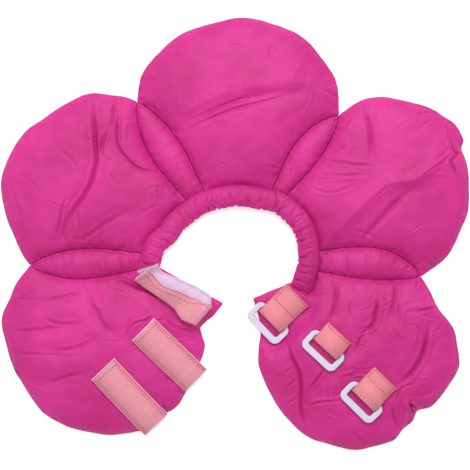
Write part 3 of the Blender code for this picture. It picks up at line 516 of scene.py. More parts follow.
def settleCloth(points, triangles, border, slack, look):
    # The top cloth is cut a little larger than the padding under it and settles into soft
    # wrinkles. It is reckoned ten times its size, where Blender's cloth is steadiest.
    thing = plainObject("loose top", points * look["grow"] * mm, triangles)
    hold = thing.vertex_groups.new(name="hold")
    loose = thing.vertex_groups.new(name="loose")
    for i in range(len(points)):
        hold.add([i], 1.0 if i < border else look["hold"], "REPLACE")
        loose.add([i], float(slack[i]), "REPLACE")
    cloth = thing.modifiers.new("cloth", "CLOTH")
    values = dict(
        quality=look["quality"], mass=look["mass"], tension_stiffness=look["stiffness"],
        compression_stiffness=look["stiffness"], shear_stiffness=look["shear"], bending_stiffness=look["bending"],
        air_damping=look["damping"], pin_stiffness=look["pins"], vertex_group_mass="hold",
        vertex_group_shrink="loose", shrink_min=-look["tightSlack"], shrink_max=-look["slack"],
        use_pressure=True, uniform_pressure_force=look["pressure"])
    for label, value in values.items():
        setattr(cloth.settings, label, value)
    cloth.settings.effector_weights.gravity = 0.0
    cloth.collision_settings.use_collision = False
    cloth.point_cache.frame_start, cloth.point_cache.frame_end = 1, look["frames"]
    for step in range(1, look["frames"] + 1):
        scene.frame_set(step)
    settled = takePoints(thing)[0]
    scene.frame_set(1)
    move = settled / look["grow"] / mm - points
    fixed = np.arange(len(points)) < border
    move = np.column_stack([smoothed(axis, triangles, look["ease"], fixed) for axis in move.T])
    size = np.linalg.norm(move, axis=1)
    return points + move * np.minimum(1, look["cap"] / np.maximum(size, 1e-6))[:, None]


def rounded(points, triangles):
    # one subdivision of an open sheet: its points and its faces
    thing = plainObject("sheet", points, triangles)
    modifier = thing.modifiers.new("round", "SUBSURF")
    modifier.levels = modifier.render_levels = 1
    return takePoints(thing)


# How far the neck's seam lies from its centre at each angle, as a share of the roll's radius
neckSeam = [
    (-40, 0.97), (-15, 0.98), (5, 1.02), (30, 1.05), (52, 1.03), (75, 0.96),
    (100, 0.955), (130, 1.00), (155, 1.06), (172, 1.20), (190, 1.27), (205, 1.27),
]
rollLook = dict(
    radius=64.0, first=-22.0, last=184.3, width=17.6, height=12.0, endHeight=5.0, taper=18.0, tuck=3.6, lap=3.0,
    outset=0.5, pitch=7.6, depth=3.0, along=460, around=56, seed=3.0, stations=160,
)


def neckReach(angle):
    for (a0, r0), (a1, r1) in zip(neckSeam, neckSeam[1:]):
        if angle <= a1:
            t = min(max((angle - a0) / (a1 - a0), 0), 1)
            return rollLook["radius"] * (r0 + (r1 - r0) * t * t * (3 - 2 * t))


def onNeck(angle, reach):
    return neckCentre + reach * np.array([math.cos(math.radians(angle)), math.sin(math.radians(angle))])


def aroundNeck(point):
    # the point's angle round the neck, from -90 to 270 degrees, and its distance from the centre
    away = point - neckCentre
    angle = math.degrees(math.atan2(away[1], away[0]))
    return angle + 360 if angle < -90 else angle, float(np.linalg.norm(away))


def underRoll(point):
    # a panel's neck edge runs on under the roll, so that no floor shows between them
    angle, reach = aroundNeck(point)
    ends = min(angle - rollLook["first"], rollLook["last"] - angle) / 4
    if ends <= 0 or reach > neckReach(angle) + 1.5:
        return point
    return point - (point - neckCentre) / reach * rollLook["lap"] * min(ends, 1)


panelNames = sorted(n for n in frame["nodes"] if n.startswith(("petal", "gusset")))
loops = {name: seamLoop(name) for name in panelNames}
hardware = surfaceOf(frame["nodes"][n].data for n in frame["nodes"] if n.startswith(("strap", "tab", "ring")))


def wobble(point):
    shift = noise.noise_vector(Vector((point[0] / 6.5, point[1] / 6.5, 3.7)))
    return point + np.array(shift.xy) * paddingLook["seamPull"]


def minorFolds(name, loop, look):
    # short shallow wrinkles scattered over a petal, most of them running out from the neck
    rng = np.random.default_rng(len(name) * 7 + panelNames.index(name))
    low, high = loop.min(0), loop.max(0)
    lines = []
    while len(lines) < look["minor"].get(name, 0):
        start = low + (high - low) * rng.random(2)
        heading = math.atan2(*(start - neckCentre)[::-1]) + rng.normal(0, 0.55)
        length, curl = rng.uniform(9, 26), rng.normal(0, 0.25)
        route = [start]
        for _ in range(4):
            heading += curl
            route.append(route[-1] + length / 4 * np.array([math.cos(heading), math.sin(heading)]))
        if insideLoop(np.array(route), list(loop)).all():
            lines.append((rng.uniform(0.25, 0.65) * rng.choice([1, 1, -1]), rng.uniform(1.0, 1.9), route))
    return lines


def foldRelief(name, loop, plan, look):
    # how far the folds lift each point of the panel, and how much painted shade darkens their hollows
    rise, shade = np.zeros(len(plan)), np.zeros(len(plan))
    lines = [(d, w, smoothLine(fromPhoto(line), 2.0), *lap) for d, w, line, *lap in folds.get(name, [])]
    for depth, width, route, *lap in lines + minorFolds(name, np.array(loop), look):
        width *= look["foldWidth"]
        distance, side, along, total = lineField(plan, route)
        fade = np.clip(np.minimum(along, total - along) / (0.25 * total), 0, 1)
        fade = np.where(distance > (16 if lap else 4 * width), 0, np.maximum(fade, 0.15))
        hollow = np.exp(-np.sqrt(distance ** 2 + 0.05) / (0.6 * width))
        shoulder = 0.4 * np.exp(-((distance - 1.9 * width) / width) ** 2)
        rise -= look["foldDepth"] * depth * fade * (hollow - shoulder)
        if lap:
            rise += lap[0] * side * fade * np.clip(distance / 0.8, 0, 1) * np.exp(-distance / 7)
        # painted shade in the hollow of each fold
        if depth > 0:
            shade = np.maximum(shade, 0.4 * min(depth, 1.8) * fade * np.exp(-(distance / (0.5 * width)) ** 2))
    return rise, shade


def sewnShade(name, loop, plan):
    # painted shade: along each seam shared with another panel or the neck roll the colour is darker than at the outer
    # edge, for the shade in the crevice
    others = np.vstack([loops[n] for n in panelNames if n != name])
    gap = np.full(len(plan), farAway)
    for point in loop:
        angle, reach = aroundNeck(point)
        if np.linalg.norm(others - point, axis=1).min() < 3.4 or (reach < 84 and -20 < angle < 180):
            gap = np.minimum(gap, np.linalg.norm(plan - point, axis=1))
    return 0.8 * np.exp(-(gap / 0.8) ** 2)


def underside(loop, look):
    # rests on the floor with a few low waves, and rises to the seam all round
    points, faces = sheetMesh(loop, look["underLattice"])
    edge = lineField(points, loop + loop[:1])[0]
    lift = np.array([0.35 + 0.5 * ripple(x, y, 14, 5.5) for x, y in points])
    low = np.maximum(lift, 0) * np.clip(edge / 8, 0, 1) + look["seamHeight"] * np.clip(1 - edge / 3.4, 0, 1) ** 2
    low[:len(loop)] = look["seamHeight"]
    back, cells = rounded(np.column_stack([points, low]), [f[::-1] for f in faces])
    return back, cells, np.zeros(len(back))


def upperSide(name, loop, look):
    # the CAD cushion's top as loose cloth: settled, folded, puckered at its seams and pressed under the hardware
    points, triangles = sheetMesh(loop, look["lattice"])
    border, ring = len(loop), loop + loop[:1]
    cushion = surfaceOf([frame["nodes"][name].data])
    heights = np.full(len(points), look["seamHeight"])
    for i in range(border, len(points)):
        hit = cushion.ray_cast(Vector((*points[i], 60)), Vector((0, 0, -1)))[0]
        heights[i] = hit.z if hit else look["seamHeight"]
    heights = smoothed(heights, triangles, 5, np.arange(len(points)) < border)
    sheet = np.column_stack([points, heights])
    slack = np.array([0.5 + ripple(x, y, 26, 1.3) for x, y in points])
    slack = np.clip(slack + 0.8 * np.exp(-lineField(points, ring)[0] / 9), 0, 1)
    sheet = settleCloth(sheet, triangles, border, slack, clothLook)
    top, cells = rounded(sheet, triangles)
    plan = top[:, :2]
    away, _, run, _ = lineField(plan, ring)
    rise, shade = foldRelief(name, loop, plan, look)
    inner = np.nonzero(away > 0.05)[0]
    for i in inner:
        near = math.exp(-away[i] / 5.5) * min(away[i] / 2.2, 1)
        rise[i] += look["pucker"] * near * 2 * noise.noise(Vector((run[i] / 3.6, away[i] / 16, 0.5)))
        rise[i] += look["crumple"] * ripple(*plan[i], 11, 8.1) * min(away[i] / 6, 1)
    top[:, 2] += rise * np.clip(away / 1.5, 0, 1)
    for i in inner:
        top[i, 2] = max(top[i, 2], look["seamHeight"] * 0.8)
        hit = hardware.ray_cast(Vector((*plan[i], -1)), Vector((0, 0, 1)))[0]
        if hit:
            top[i, 2] = min(top[i, 2], hit.z - look["strapGap"])
    return top, cells, np.maximum(shade, sewnShade(name, loop, plan))


def padPanel(name, look):
    seam = inset(smoothLine(loops[name], look["border"], closed=True), -look["overlap"])
    loop = [underRoll(wobble(p)) for p in seam]
    mesh = bmesh.new()
    # each point carries its painted shade in the seamShade attribute, which darkens the taffeta
    layer = mesh.verts.layers.float.new("seamShade")
    for places, cells, paintedShades in (upperSide(name, loop, look), underside(loop, look)):
        made = [mesh.verts.new(place * mm) for place in places]
        for vert, paintedShade in zip(made, paintedShades):
            vert[layer] = float(paintedShade)
        for cell in cells:
            mesh.faces.new([made[i] for i in cell])
    bmesh.ops.remove_doubles(mesh, verts=mesh.verts, dist=1e-6)
    panel = finishPiece("padded_" + name, meshFrom(mesh, name), [name], material=taffeta)
    return panel


panels = {}
for panelName in panelNames:
    panels[panelName] = padPanel(panelName, paddingLook)
    print(panelName, "padded,", len(panels[panelName].data.polygons), "faces")


def newTree(name, inputs):
    tree = bpy.data.node_groups.new(name, "GeometryNodeTree")
    for label, kind in [("Geometry", "Geometry"), *inputs]:
        tree.interface.new_socket(name=label, in_out="INPUT", socket_type="NodeSocket" + kind)
    tree.interface.new_socket(name="Geometry", in_out="OUTPUT", socket_type="NodeSocketGeometry")
    return tree, tree.nodes.new("NodeGroupInput"), tree.nodes.new("NodeGroupOutput")


def applyTree(thing, tree, values):
    modifier = thing.modifiers.new(tree.name, "NODES")
    modifier.node_group = tree
    for item in tree.interface.items_tree:
        if item.in_out == "INPUT" and item.name in values:
            modifier[item.identifier] = values[item.name]
    return takeMesh(thing)


def finishTree(tree, geometry, material, end):
    real = addNode(tree, "GeometryNodeRealizeInstances", {0: geometry})
    painted = addNode(tree, "GeometryNodeSetMaterial", {"Geometry": real, "Material": material})
    tree.links.new(painted.outputs[0], end.inputs[0])


# Neck roll: a gathered casing, made by rule round the neck's seam
def gatheredRollTree():
    tree, start, end = newTree("gathered roll", [
        ("Width", "Float"), ("Height", "Float"), ("End share", "Float"), ("Taper share", "Float"),
        ("Gathers", "Float"), ("Depth", "Float"), ("Along", "Int"), ("Around", "Int"), ("Seed", "Float"),
        ("Material", "Material")])
    given = start.outputs

    def sums(kind, a, b=0.0, c=0.0):
        return addNode(tree, "ShaderNodeMath", {0: a, 1: b, 2: c}, operation=kind)

    def times(product, *factors):
        for factor in factors:
            product = sums("MULTIPLY", product, factor)
        return product

    def vector(kind, inputs):
        return addNode(tree, "ShaderNodeVectorMath", inputs, operation=kind)

    def cloud(stretch, detail):
        at = vector("MULTIPLY", {0: place, 1: stretch})
        return addNode(tree, "ShaderNodeTexNoise", {"Vector": at, "Scale": 1.0, "Detail": detail})

    grid = addNode(tree, "GeometryNodeMeshGrid", {"Size X": 1.0, "Size Y": 1.0, "Vertices X": given["Along"],
                   "Vertices Y": given["Around"]})
    spot = addNode(tree, "ShaderNodeSeparateXYZ", {0: addNode(tree, "GeometryNodeInputPosition")})
    u, v = (sums("ADD", spot.outputs[axis], 0.5) for axis in "XY")
    path = addNode(tree, "GeometryNodeSampleCurve", {"Curves": given["Geometry"], "Factor": u}, mode="FACTOR")
    outward = vector("NORMALIZE", {0: vector("CROSS_PRODUCT", {0: path.outputs["Tangent"], 1: (0, 0, 1)})})
    turn = times(v, 2 * math.pi)
    cos, sin = sums("COSINE", turn), sums("SINE", turn)
    # slanting gathers: narrow valleys at uneven places, wandering a little round the roll
    place = addNode(tree, "ShaderNodeCombineXYZ", {"X": times(u, 26.0), "Y": times(cos, 0.55),
                    "Z": sums("ADD", sin, given["Seed"])})
    count = sums("MULTIPLY_ADD", u, given["Gathers"], times(cloud((1.0, 1.0, 1.0), 1.0), 2.2))
    wave = sums("ABSOLUTE", sums("SINE", times(count, math.pi)))
    valley = sums("SUBTRACT", 1.0, sums("POWER", wave, 0.34))
    amount = addNode(tree, "ShaderNodeMapRange", {"Value": cloud((2.4, 1.0, 1.0), 0.0), "From Min": 0.3,
                     "From Max": 0.7, "To Min": 0.15, "To Max": 1.25})
    # deepest along the inner edge, where the elastic draws the cloth up
    gathered = times(valley, amount, sums("MULTIPLY_ADD", cos, -0.45, 0.8))
    uneven = sums("SUBTRACT", cloud((5.0, 2.0, 2.0), 2.0), 0.5)
    pull = sums("MULTIPLY_ADD", uneven, times(given["Depth"], 0.5), times(gathered, given["Depth"]))
    # the ends taper where they are sewn into the flaps
    nearEnd = sums("MINIMUM", u, sums("SUBTRACT", 1.0, u))
    taper = sums("MINIMUM", sums("DIVIDE", nearEnd, given["Taper share"]), 1.0)
    swell = times(taper, sums("SUBTRACT", 2.0, taper))
    stature = addNode(tree, "ShaderNodeMapRange", {"Value": swell, "To Min": given["End share"], "To Max": 1.0})
    closing = sums("SQRT", sums("MINIMUM", times(nearEnd, 110.0), 1.0))
    halfHeight = times(sums("SUBTRACT", times(given["Height"], 0.5, stature), times(pull, 0.8)), closing)
    halfWidth = times(sums("SUBTRACT", times(given["Width"], 0.5), times(pull, 0.7)), closing)
    middle = times(given["Height"], 0.46, stature)
    rise = sums("MAXIMUM", sums("MULTIPLY_ADD", sin, halfHeight, middle), 0.0)
    aside = vector("SCALE", {0: outward, "Scale": times(cos, halfWidth)})
    lifted = vector("ADD", {0: vector("ADD", {0: path.outputs["Position"], 1: aside}),
                    1: addNode(tree, "ShaderNodeCombineXYZ", {"Z": rise})})
    shaped = addNode(tree, "GeometryNodeSetPosition", {"Geometry": grid, "Position": lifted})
    # painted shade: the gather valleys and the roll's outer side, where it turns under towards the seam, are darkened
    # as seamShade
    rim = sums("POWER", sums("MAXIMUM", cos, 0.0), 14.0)
    paintedShade = sums("MINIMUM", sums("MAXIMUM", times(gathered, 0.42), times(rim, 0.7)), 0.9)
    stored = addNode(tree, "GeometryNodeStoreNamedAttribute", {"Geometry": shaped, "Name": "seamShade",
                     "Value": paintedShade}, data_type="FLOAT", domain="POINT")
    welded = addNode(tree, "GeometryNodeMergeByDistance", {"Geometry": stored, "Distance": 0.00002})
    smooth = addNode(tree, "GeometryNodeSetShadeSmooth", {"Geometry": welded})
    finishTree(tree, smooth, given["Material"], end)
    return tree


def curveObject(name, points):
    data = bpy.data.curves.new(name, "CURVE")
    data.dimensions = "3D"
    spline = data.splines.new("POLY")
    spline.points.add(len(points) - 1)
    for target, point in zip(spline.points, points):
        target.co = (*point, 1.0)
    return addObject(name, data)


def makeRoll(look):
    angles = np.linspace(look["first"] - look["tuck"], look["last"] + look["tuck"], look["stations"])
    middle = [onNeck(a, neckReach(a) - look["width"] / 2 + look["outset"]) for a in angles]
    length = float(runOf(middle)[-1])
    casing = curveObject("neck path", [(p[0] * mm, p[1] * mm, 0.0) for p in middle])
    data = applyTree(casing, gatheredRollTree(), {
        "Width": look["width"] * mm, "Height": look["height"] * mm, "End share": look["endHeight"] / look["height"],
        "Taper share": look["taper"] / length, "Gathers": float(round(length / look["pitch"])),
        "Depth": look["depth"] * mm, "Along": look["along"], "Around": look["around"], "Seed": look["seed"],
        "Material": taffeta})
    roll = finishPiece("gathered_neck_roll", facedOutward(data), ["neck_roll"])
    return roll


neckRoll = makeRoll(rollLook)
print("neck roll gathered,", len(neckRoll.data.polygons), "faces")


# Rows of one small part, such as stitches or the webbing's ribs, along lines of points
def rowTree(name, roundEnds):
    tree, start, end = newTree(name, [("Length", "Float"), ("Width", "Float"), ("Height", "Float"),
                                      ("Unevenness", "Float"), ("Seed", "Int"), ("Material", "Material")])
    given = start.outputs
    if roundEnds:
        part = addNode(tree, "GeometryNodeMeshUVSphere", {"Segments": 8, "Rings": 6, "Radius": 0.5})
    else:
        bar = addNode(tree, "GeometryNodeMeshCylinder", {"Vertices": 8, "Radius": 0.5, "Depth": 1.0})
        part = addNode(tree, "GeometryNodeTransform", {"Geometry": bar, "Rotation": (0, math.pi / 2, 0)})
    along, up = (addNode(tree, "GeometryNodeInputNamedAttribute", {"Name": label}, data_type="FLOAT_VECTOR")
                 for label in ("along", "up"))
    facing = addNode(tree, "FunctionNodeAlignRotationToVector", {"Vector": along}, axis="X")
    facing = addNode(tree, "FunctionNodeAlignRotationToVector", {"Rotation": facing, "Vector": up}, axis="Z",
                     pivot_axis="X")
    least, most = (addNode(tree, "ShaderNodeMath", {0: 1.0, 1: given["Unevenness"]}, operation=kind)
                   for kind in ("SUBTRACT", "ADD"))
    vary = addNode(tree, "FunctionNodeRandomValue", {2: least, 3: most, "Seed": given["Seed"]}, data_type="FLOAT")
    size = addNode(tree, "ShaderNodeCombineXYZ", {"X": given["Length"], "Y": given["Width"], "Z": given["Height"]})
    scale = addNode(tree, "ShaderNodeVectorMath", {0: size, "Scale": vary.outputs[1]}, operation="SCALE")
    rows = addNode(tree, "GeometryNodeInstanceOnPoints", {"Points": given["Geometry"], "Instance": part,
                   "Rotation": facing, "Scale": scale})
    finishTree(tree, rows, given["Material"], end)
    return tree


stitchTree = rowTree("stitches", True)
ribTree = rowTree("webbing ribs", False)


def makeRow(name, tree, spots, size, material, seed, unevenness=0.06):
    # spots hold (place, along, up), in metres
    thing = plainObject("spots", [s[0] for s in spots], [])
    for label, column in (("along", 1), ("up", 2)):
        attribute = thing.data.attributes.new(label, "FLOAT_VECTOR", "POINT")
        attribute.data.foreach_set("vector", [c for s in spots for c in s[column]])
    data = applyTree(thing, tree, {"Length": size[0] * mm, "Width": size[1] * mm, "Height": size[2] * mm,
                                   "Unevenness": unevenness, "Seed": seed, "Material": material})
    data.shade_smooth()
    return finishPiece(name, data)


stitchLook = dict(pitch=2.5, size=(1.7, 0.75, 0.6), inset=2.1, sink=0.05, neckGap=2.5)


def gussetStitches(look):
    spots = []
    for name in (n for n in panelNames if n.startswith("gusset")):
        cloth = surfaceOf([panels[name].data], 1.0)
        line = inset(smoothLine(loops[name], paddingLook["border"], closed=True), look["inset"])
        line += line[:1]
        lengths = np.diff(runOf(line))
        for i, share in paces(lengths, look["pitch"], 0.0):
            spot = line[i] + (line[i + 1] - line[i]) * share
            angle, reach = aroundNeck(spot)
            if reach < neckReach(min(angle, 200)) + look["neckGap"]:
                continue
            hit, normal, _, _ = cloth.ray_cast(Vector((*spot * mm, 0.05)), Vector((0, 0, -1)))
            if hit:
                direction = (line[i + 1] - line[i]) / lengths[i]
                spots.append((hit - normal * look["sink"] * mm, (*direction, 0.0), normal))
    makeRow("gusset_stitches", stitchTree, spots, look["size"], seamThread, 1, 0.08)


gussetStitches(stitchLook)
print("gussets stitched")


# Straps: ribbed webbing over loop pile, each along the middle line of its CAD ribbon.
# The ribs are drawn 1.4 mm apart, a little coarser than real ones, so that they show.
strapLook = dict(width=25.0, webbing=1.2, lining=0.8, rib=1.42, ribWidth=0.95, ribHeight=0.7, step=0.9,
                 selvedge=0.5, margin=2.6, stitchInset=3.0, stitchPitch=2.6, stitch=(2.1, 0.5, 0.4), sharp=50)


def ribbonStations(node, width, thickness):
    # the CAD ribbon's cross edges in order round it, parted into its two broad faces
    mesh = mergedCopy(node)
    cross = [e for e in mesh.edges if abs(e.calc_length() - width * mm) < 3e-6]
    owner = {}
    for edge in cross:
        for face in edge.link_faces:
            owner.setdefault(face, edge)
    links = {e: [] for e in cross}
    for edge in cross:
        for face in edge.link_faces:
            for other in face.edges:
                if other is edge or other.calc_length() < width * mm * 0.9:
                    continue
                for beyond in other.link_faces:
                    if beyond is not face and beyond in owner and owner[beyond] is not edge:
                        links[edge].append(owner[beyond])
    order = [cross[0], links[cross[0]][0]]
    while len(order) < len(cross):
        order.append(next(e for e in links[order[-1]] if e is not order[-2]))
    middles = [(e.verts[0].co + e.verts[1].co) / 2 for e in order]
    spans = [(e.verts[1].co - e.verts[0].co).normalized() for e in order]
    mesh.free()
    half = len(order) // 2
    for k in range(half):
        steps = [(middles[(k + 1 + j) % len(order)] - middles[k + j]).length for j in (0, half)]
        if all(abs(s - thickness * mm) < 2e-6 for s in steps):
            break
    turned = middles[k + 1:] + middles[:k + 1], spans[k + 1:] + spans[:k + 1]
    near, far = turned[0][:half], turned[0][half:][::-1]
    stations = []
    across = turned[1][0]
    for a, b, span in zip(near, far, turned[1][:half]):
        across = span if span.dot(across) > 0 else -span
        stations.append(((a + b) / 2, across.copy(), (b - a).normalized()))
    return stations


def refine(stations, step):
    # stations at even steps on a smooth curve through the given ones
    places = [np.array(s[0]) / mm for s in stations]
    count = len(places)
    fine = []
    for i in range(count - 1):
        p1, p2 = places[i], places[i + 1]
        p0 = places[i - 1] if i else 2 * p1 - p2
        p3 = places[i + 2] if i + 2 < count else 2 * p2 - p1
        pieces = max(1, round(float(np.linalg.norm(p2 - p1)) / (step / 4)))
        for k in range(pieces + (i == count - 2)):
            turned = [stations[i][n].lerp(stations[i + 1][n], k / pieces).normalized() for n in (1, 2)]
            fine.append((bend(p0, p1, p2, p3, k / pieces), *turned))
    run = runOf([place for place, _, _ in fine])
    result = []
    for due in np.linspace(0, run[-1], max(2, round(run[-1] / step) + 1)):
        i = min(int(np.searchsorted(run, due)), len(fine) - 1)
        place, across, normal = fine[i]
        if i and run[i] > run[i - 1]:
            t = (due - run[i - 1]) / (run[i] - run[i - 1])
            place = fine[i - 1][0] * (1 - t) + place * t
        result.append((Vector(place) * mm, across, normal))
    return result


def bridge(mesh, rings):
    # faces between each ring of points and the next
    for a, b in zip(rings, rings[1:]):
        for i in range(len(a)):
            j = (i + 1) % len(a)
            mesh.faces.new([a[i], a[j], b[j], b[i]])


def sweepRibbon(stations, width, thickness, soft):
    # a strip with rounded selvedges swept along the stations, closed at both ends
    half, deep = width / 2, thickness / 2
    side = [(soft, -1), (0.25 * soft, -0.55), (0, 0), (0.25 * soft, 0.55), (soft, 1)]
    section = [(soft - half, -deep), (0, -deep)] + [(half - x, z * deep) for x, z in side]
    section += [(x * half, deep) for x in (0.5, 0, -0.5)] + [(x - half, z * deep) for x, z in side[:0:-1]]
    mesh = bmesh.new()
    rings = [[mesh.verts.new(place + across * x * mm + normal * z * mm) for x, z in section]
             for place, across, normal in stations]
    bridge(mesh, rings)
    mesh.faces.new(rings[0])
    mesh.faces.new(rings[-1][::-1])
    bmesh.ops.recalc_face_normals(mesh, faces=mesh.faces)
    data = meshFrom(mesh, "ribbon")
    data.set_sharp_from_angle(angle=math.radians(strapLook["sharp"]))
    return data


def lengthsOf(stations):
    return [(b[0] - a[0]).length / mm for a, b in zip(stations, stations[1:])]


def ribSpots(stations, pitch, surface):
    spots = []
    for i, share in paces(lengthsOf(stations), pitch, 0.5 * pitch):
        place, across, normal = stations[i]
        spots.append((place.lerp(stations[i + 1][0], share) + normal * surface * mm, across, normal))
    return spots


def stitchSpots(stations, offsets, pitch, surface, ends):
    # rows along the ribbon at each offset from its middle, between two shares of its length
    lengths = lengthsOf(stations)
    low, high = (end * sum(lengths) for end in ends)
    spots = []
    for offset in offsets:
        for i, share in paces(lengths, pitch, low, high):
            (a, across, normal), b = stations[i], stations[i + 1][0]
            place = a.lerp(b, share) + across * offset * mm + normal * surface * mm
            spots.append((place, (b - a).normalized(), normal))
    return spots


def crossSpots(stations, share, half, pitch, surface):
    # one row of stitches across the ribbon
    place, across, normal = stations[int(share * (len(stations) - 1))]
    return [(place + across * x * mm + normal * surface * mm, across, normal)
            for x in np.arange(-half, half + 0.01, pitch)]


def makeStrap(key, look):
    node, liner, half = "strap_" + key, "strap_lining_" + key, look["width"] / 2
    stations = ribbonStations(node, look["width"], look["webbing"])
    # the free end is last, and the ribbed face looks away from the pile
    if stations[0][0].x <= stations[-1][0].x:
        stations.reverse()
    if stations[-1][2].z < 0:
        stations = [(p, a, -n) for p, a, n in stations]
    fine = refine(stations, look["step"])
    data = sweepRibbon(fine, look["width"], look["webbing"] - 0.1, look["selvedge"])
    data.materials.append(webbing)
    data.materials.append(webbingGroundShade)
    # painted shade: faces under the ribs take the darker ground, which shows between the ribs; the flat margins keep
    # the lighter webbing
    for face in data.polygons:
        beside = min((s[0] for s in fine), key=lambda place: (place - face.center).length)
        face.material_index = int(abs((face.center - beside).dot(fine[0][1])) / mm < half - look["margin"])
    finishPiece("webbing_" + node, data, [node])
    ribSize = (2 * (half - look["margin"]) + 1.4, look["ribWidth"], look["ribHeight"])
    ribs = ribSpots(fine, look["rib"], look["webbing"] / 2 - 0.12)
    makeRow("ribs_" + node, ribTree, ribs, ribSize, webbing, 5 + int(key), 0.02)
    surface, reach, pitch = look["webbing"] / 2 + 0.18, half - look["stitchInset"], look["stitchPitch"]
    end = 1 - look["stitchInset"] / sum(lengthsOf(fine))
    spots = stitchSpots(fine, (-reach, reach), pitch, surface, (0.02, end))
    spots += crossSpots(fine, end, reach, pitch, surface)
    makeRow("stitches_" + node, stitchTree, spots, look["stitch"], strapThread, int(key))
    lining = refine(ribbonStations(liner, look["width"], look["lining"]), look["step"])
    data = sweepRibbon(lining, look["width"], look["lining"], 0.3)
    finishPiece("pile_" + node, data, [liner], material=pile)


for strapKey in ("2", "3"):
    makeStrap(strapKey, strapLook)

# The strap by the neck is doubled over. Its upper layer twists: one edge stands up, the other curls under.
doubledLook = dict(
    raised=[(207.7, 308.5), (197.9, 301.8), (188.9, 295.8), (179.9, 291.2), (169.4, 287.5), (161.9, 283.8),
            (154.4, 274.8), (150, 270.3)],
    hanging=[(191.2, 323.5), (181.4, 314.5), (176.9, 307), (169.4, 301), (158.9, 294.3), (147.7, 286.7),
             (137.2, 278.5)],
    rim=[(156.7, 264.3), (158.9, 271.8), (169.4, 277), (187.4, 284.5), (199.4, 290.5), (208.4, 296.5),
         (211.7, 302.5)],
    tucked=[(138, 270.3), (149, 281), (160, 289.5), (171, 297), (179, 304), (185, 312), (192, 322)],
    rimCurl=2.8, rimRadius=1.6, rimColumns=5, lower=12, fold=4, foldTrim=3.6, rows=13, columns=27, stand=7.0,
    gap=4.6, settle=0.6, ribPiece=1.92, stitchInset=4.5, step=0.8,
)


def eased(t):
    t = min(max(t, 0.0), 1.0)
    return t * t * (3 - 2 * t)


def curledSection(raised, hanging, width, columns, share, radius, way=-1):
    # points across the strap: straight between the two edges and curled down, or up, past them
    chord = float(np.linalg.norm(hanging - raised))
    across = (hanging - raised) / chord
    up = np.array([0, 0, 1.0]) - across[2] * across
    up /= np.linalg.norm(up)
    spare = max(width - chord, 0.0)
    section = []
    for a in np.linspace(-spare * (1 - share), chord + spare * share, columns):
        over = max(-a, a - chord, 0.0)
        side = -1 if a < 0 else 1
        edge = raised if a < 0 else hanging
        if over == 0:
            section.append(raised + across * a + up * 0.05 * chord * math.sin(math.pi * a / chord))
            continue
        turn = min(over / radius, 2.4)
        rest = over - turn * radius
        out = radius * math.sin(turn) + rest * math.cos(turn)
        drop = radius * (1 - math.cos(turn)) + rest * math.sin(turn)
        section.append(edge + across * side * out + up * drop * way)
    return np.array(section)


def slab(grid, normals, near, far):
    # a closed layer between two depths of a grid of points, in millimetres
    rows, columns = grid.shape[:2]
    points = np.concatenate([(grid + normals * near).reshape(-1, 3), (grid + normals * far).reshape(-1, 3)]) * mm
    lift = rows * columns
    faces = []
    for a in (i * columns + j for i in range(rows - 1) for j in range(columns - 1)):
        faces.append((a, a + 1, a + columns + 1, a + columns))
        faces.append((lift + a, lift + a + columns, lift + a + columns + 1, lift + a + 1))
    rim = [j for j in range(columns)] + [i * columns + columns - 1 for i in range(1, rows)]
    rim += [(rows - 1) * columns + j for j in range(columns - 2, -1, -1)]
    rim += [i * columns for i in range(rows - 2, 0, -1)]
    faces += [(a, b, b + lift, a + lift) for a, b in zip(rim, rim[1:] + rim[:1])]
    data = bpy.data.meshes.new("slab")
    data.from_pydata(points.tolist(), [], faces)
    facedOutward(data).shade_smooth()
    data.set_sharp_from_angle(angle=math.radians(strapLook["sharp"]))
    return data


def doubledRows(look, strap):
    # points across the strap at each station: the lower layer with its curled rim, the fold, the upper layer
    stations = ribbonStations("strap_1", strap["width"], strap["webbing"])
    if stations[0][0].z > stations[-1][0].z:
        stations.reverse()
    half = strap["width"] / 2
    lines = {name: smoothLine(fromPhoto(look[name]), 0.5) for name in ("raised", "hanging", "rim", "tucked")}

    def edgePoint(name, t, height):
        line, run = np.array(lines[name]), runOf(lines[name])
        return np.array([np.interp(t * run[-1], run, line[:, 0]), np.interp(t * run[-1], run, line[:, 1]), height])

    rows = []
    for i, (place, across, _) in enumerate(stations[:look["lower"] + look["fold"]]):
        side = across if across.y > 0 else -across
        if i < look["lower"]:
            ends = [edgePoint(name, i / look["lower"], place.z / mm) for name in ("rim", "tucked")]
            width = float(np.linalg.norm(ends[1] - ends[0])) + look["rimCurl"]
            rows.append(curledSection(*ends, width, look["columns"], 0.0, look["rimRadius"], 1))
        else:
            reach = np.linspace(half, look["foldTrim"] - half, look["columns"])
            rows.append(np.array([(place + side * x * mm) / mm for x in reach]))
    heights = [s[0].z / mm for s in stations[:look["lower"]]][::-1]
    for i in range(1, look["rows"] + 1):
        t = i / look["rows"]
        base = np.interp(t, np.linspace(0, 1, len(heights)), heights) + look["gap"]
        stand = eased(t / look["settle"])
        ends = [edgePoint("raised", t, base + look["stand"] * stand), edgePoint("hanging", t, base + 1.4 * stand)]
        rows.append(curledSection(*ends, strap["width"], look["columns"], eased(t / 0.3), 1.6 + 0.9 * stand))
    return rows


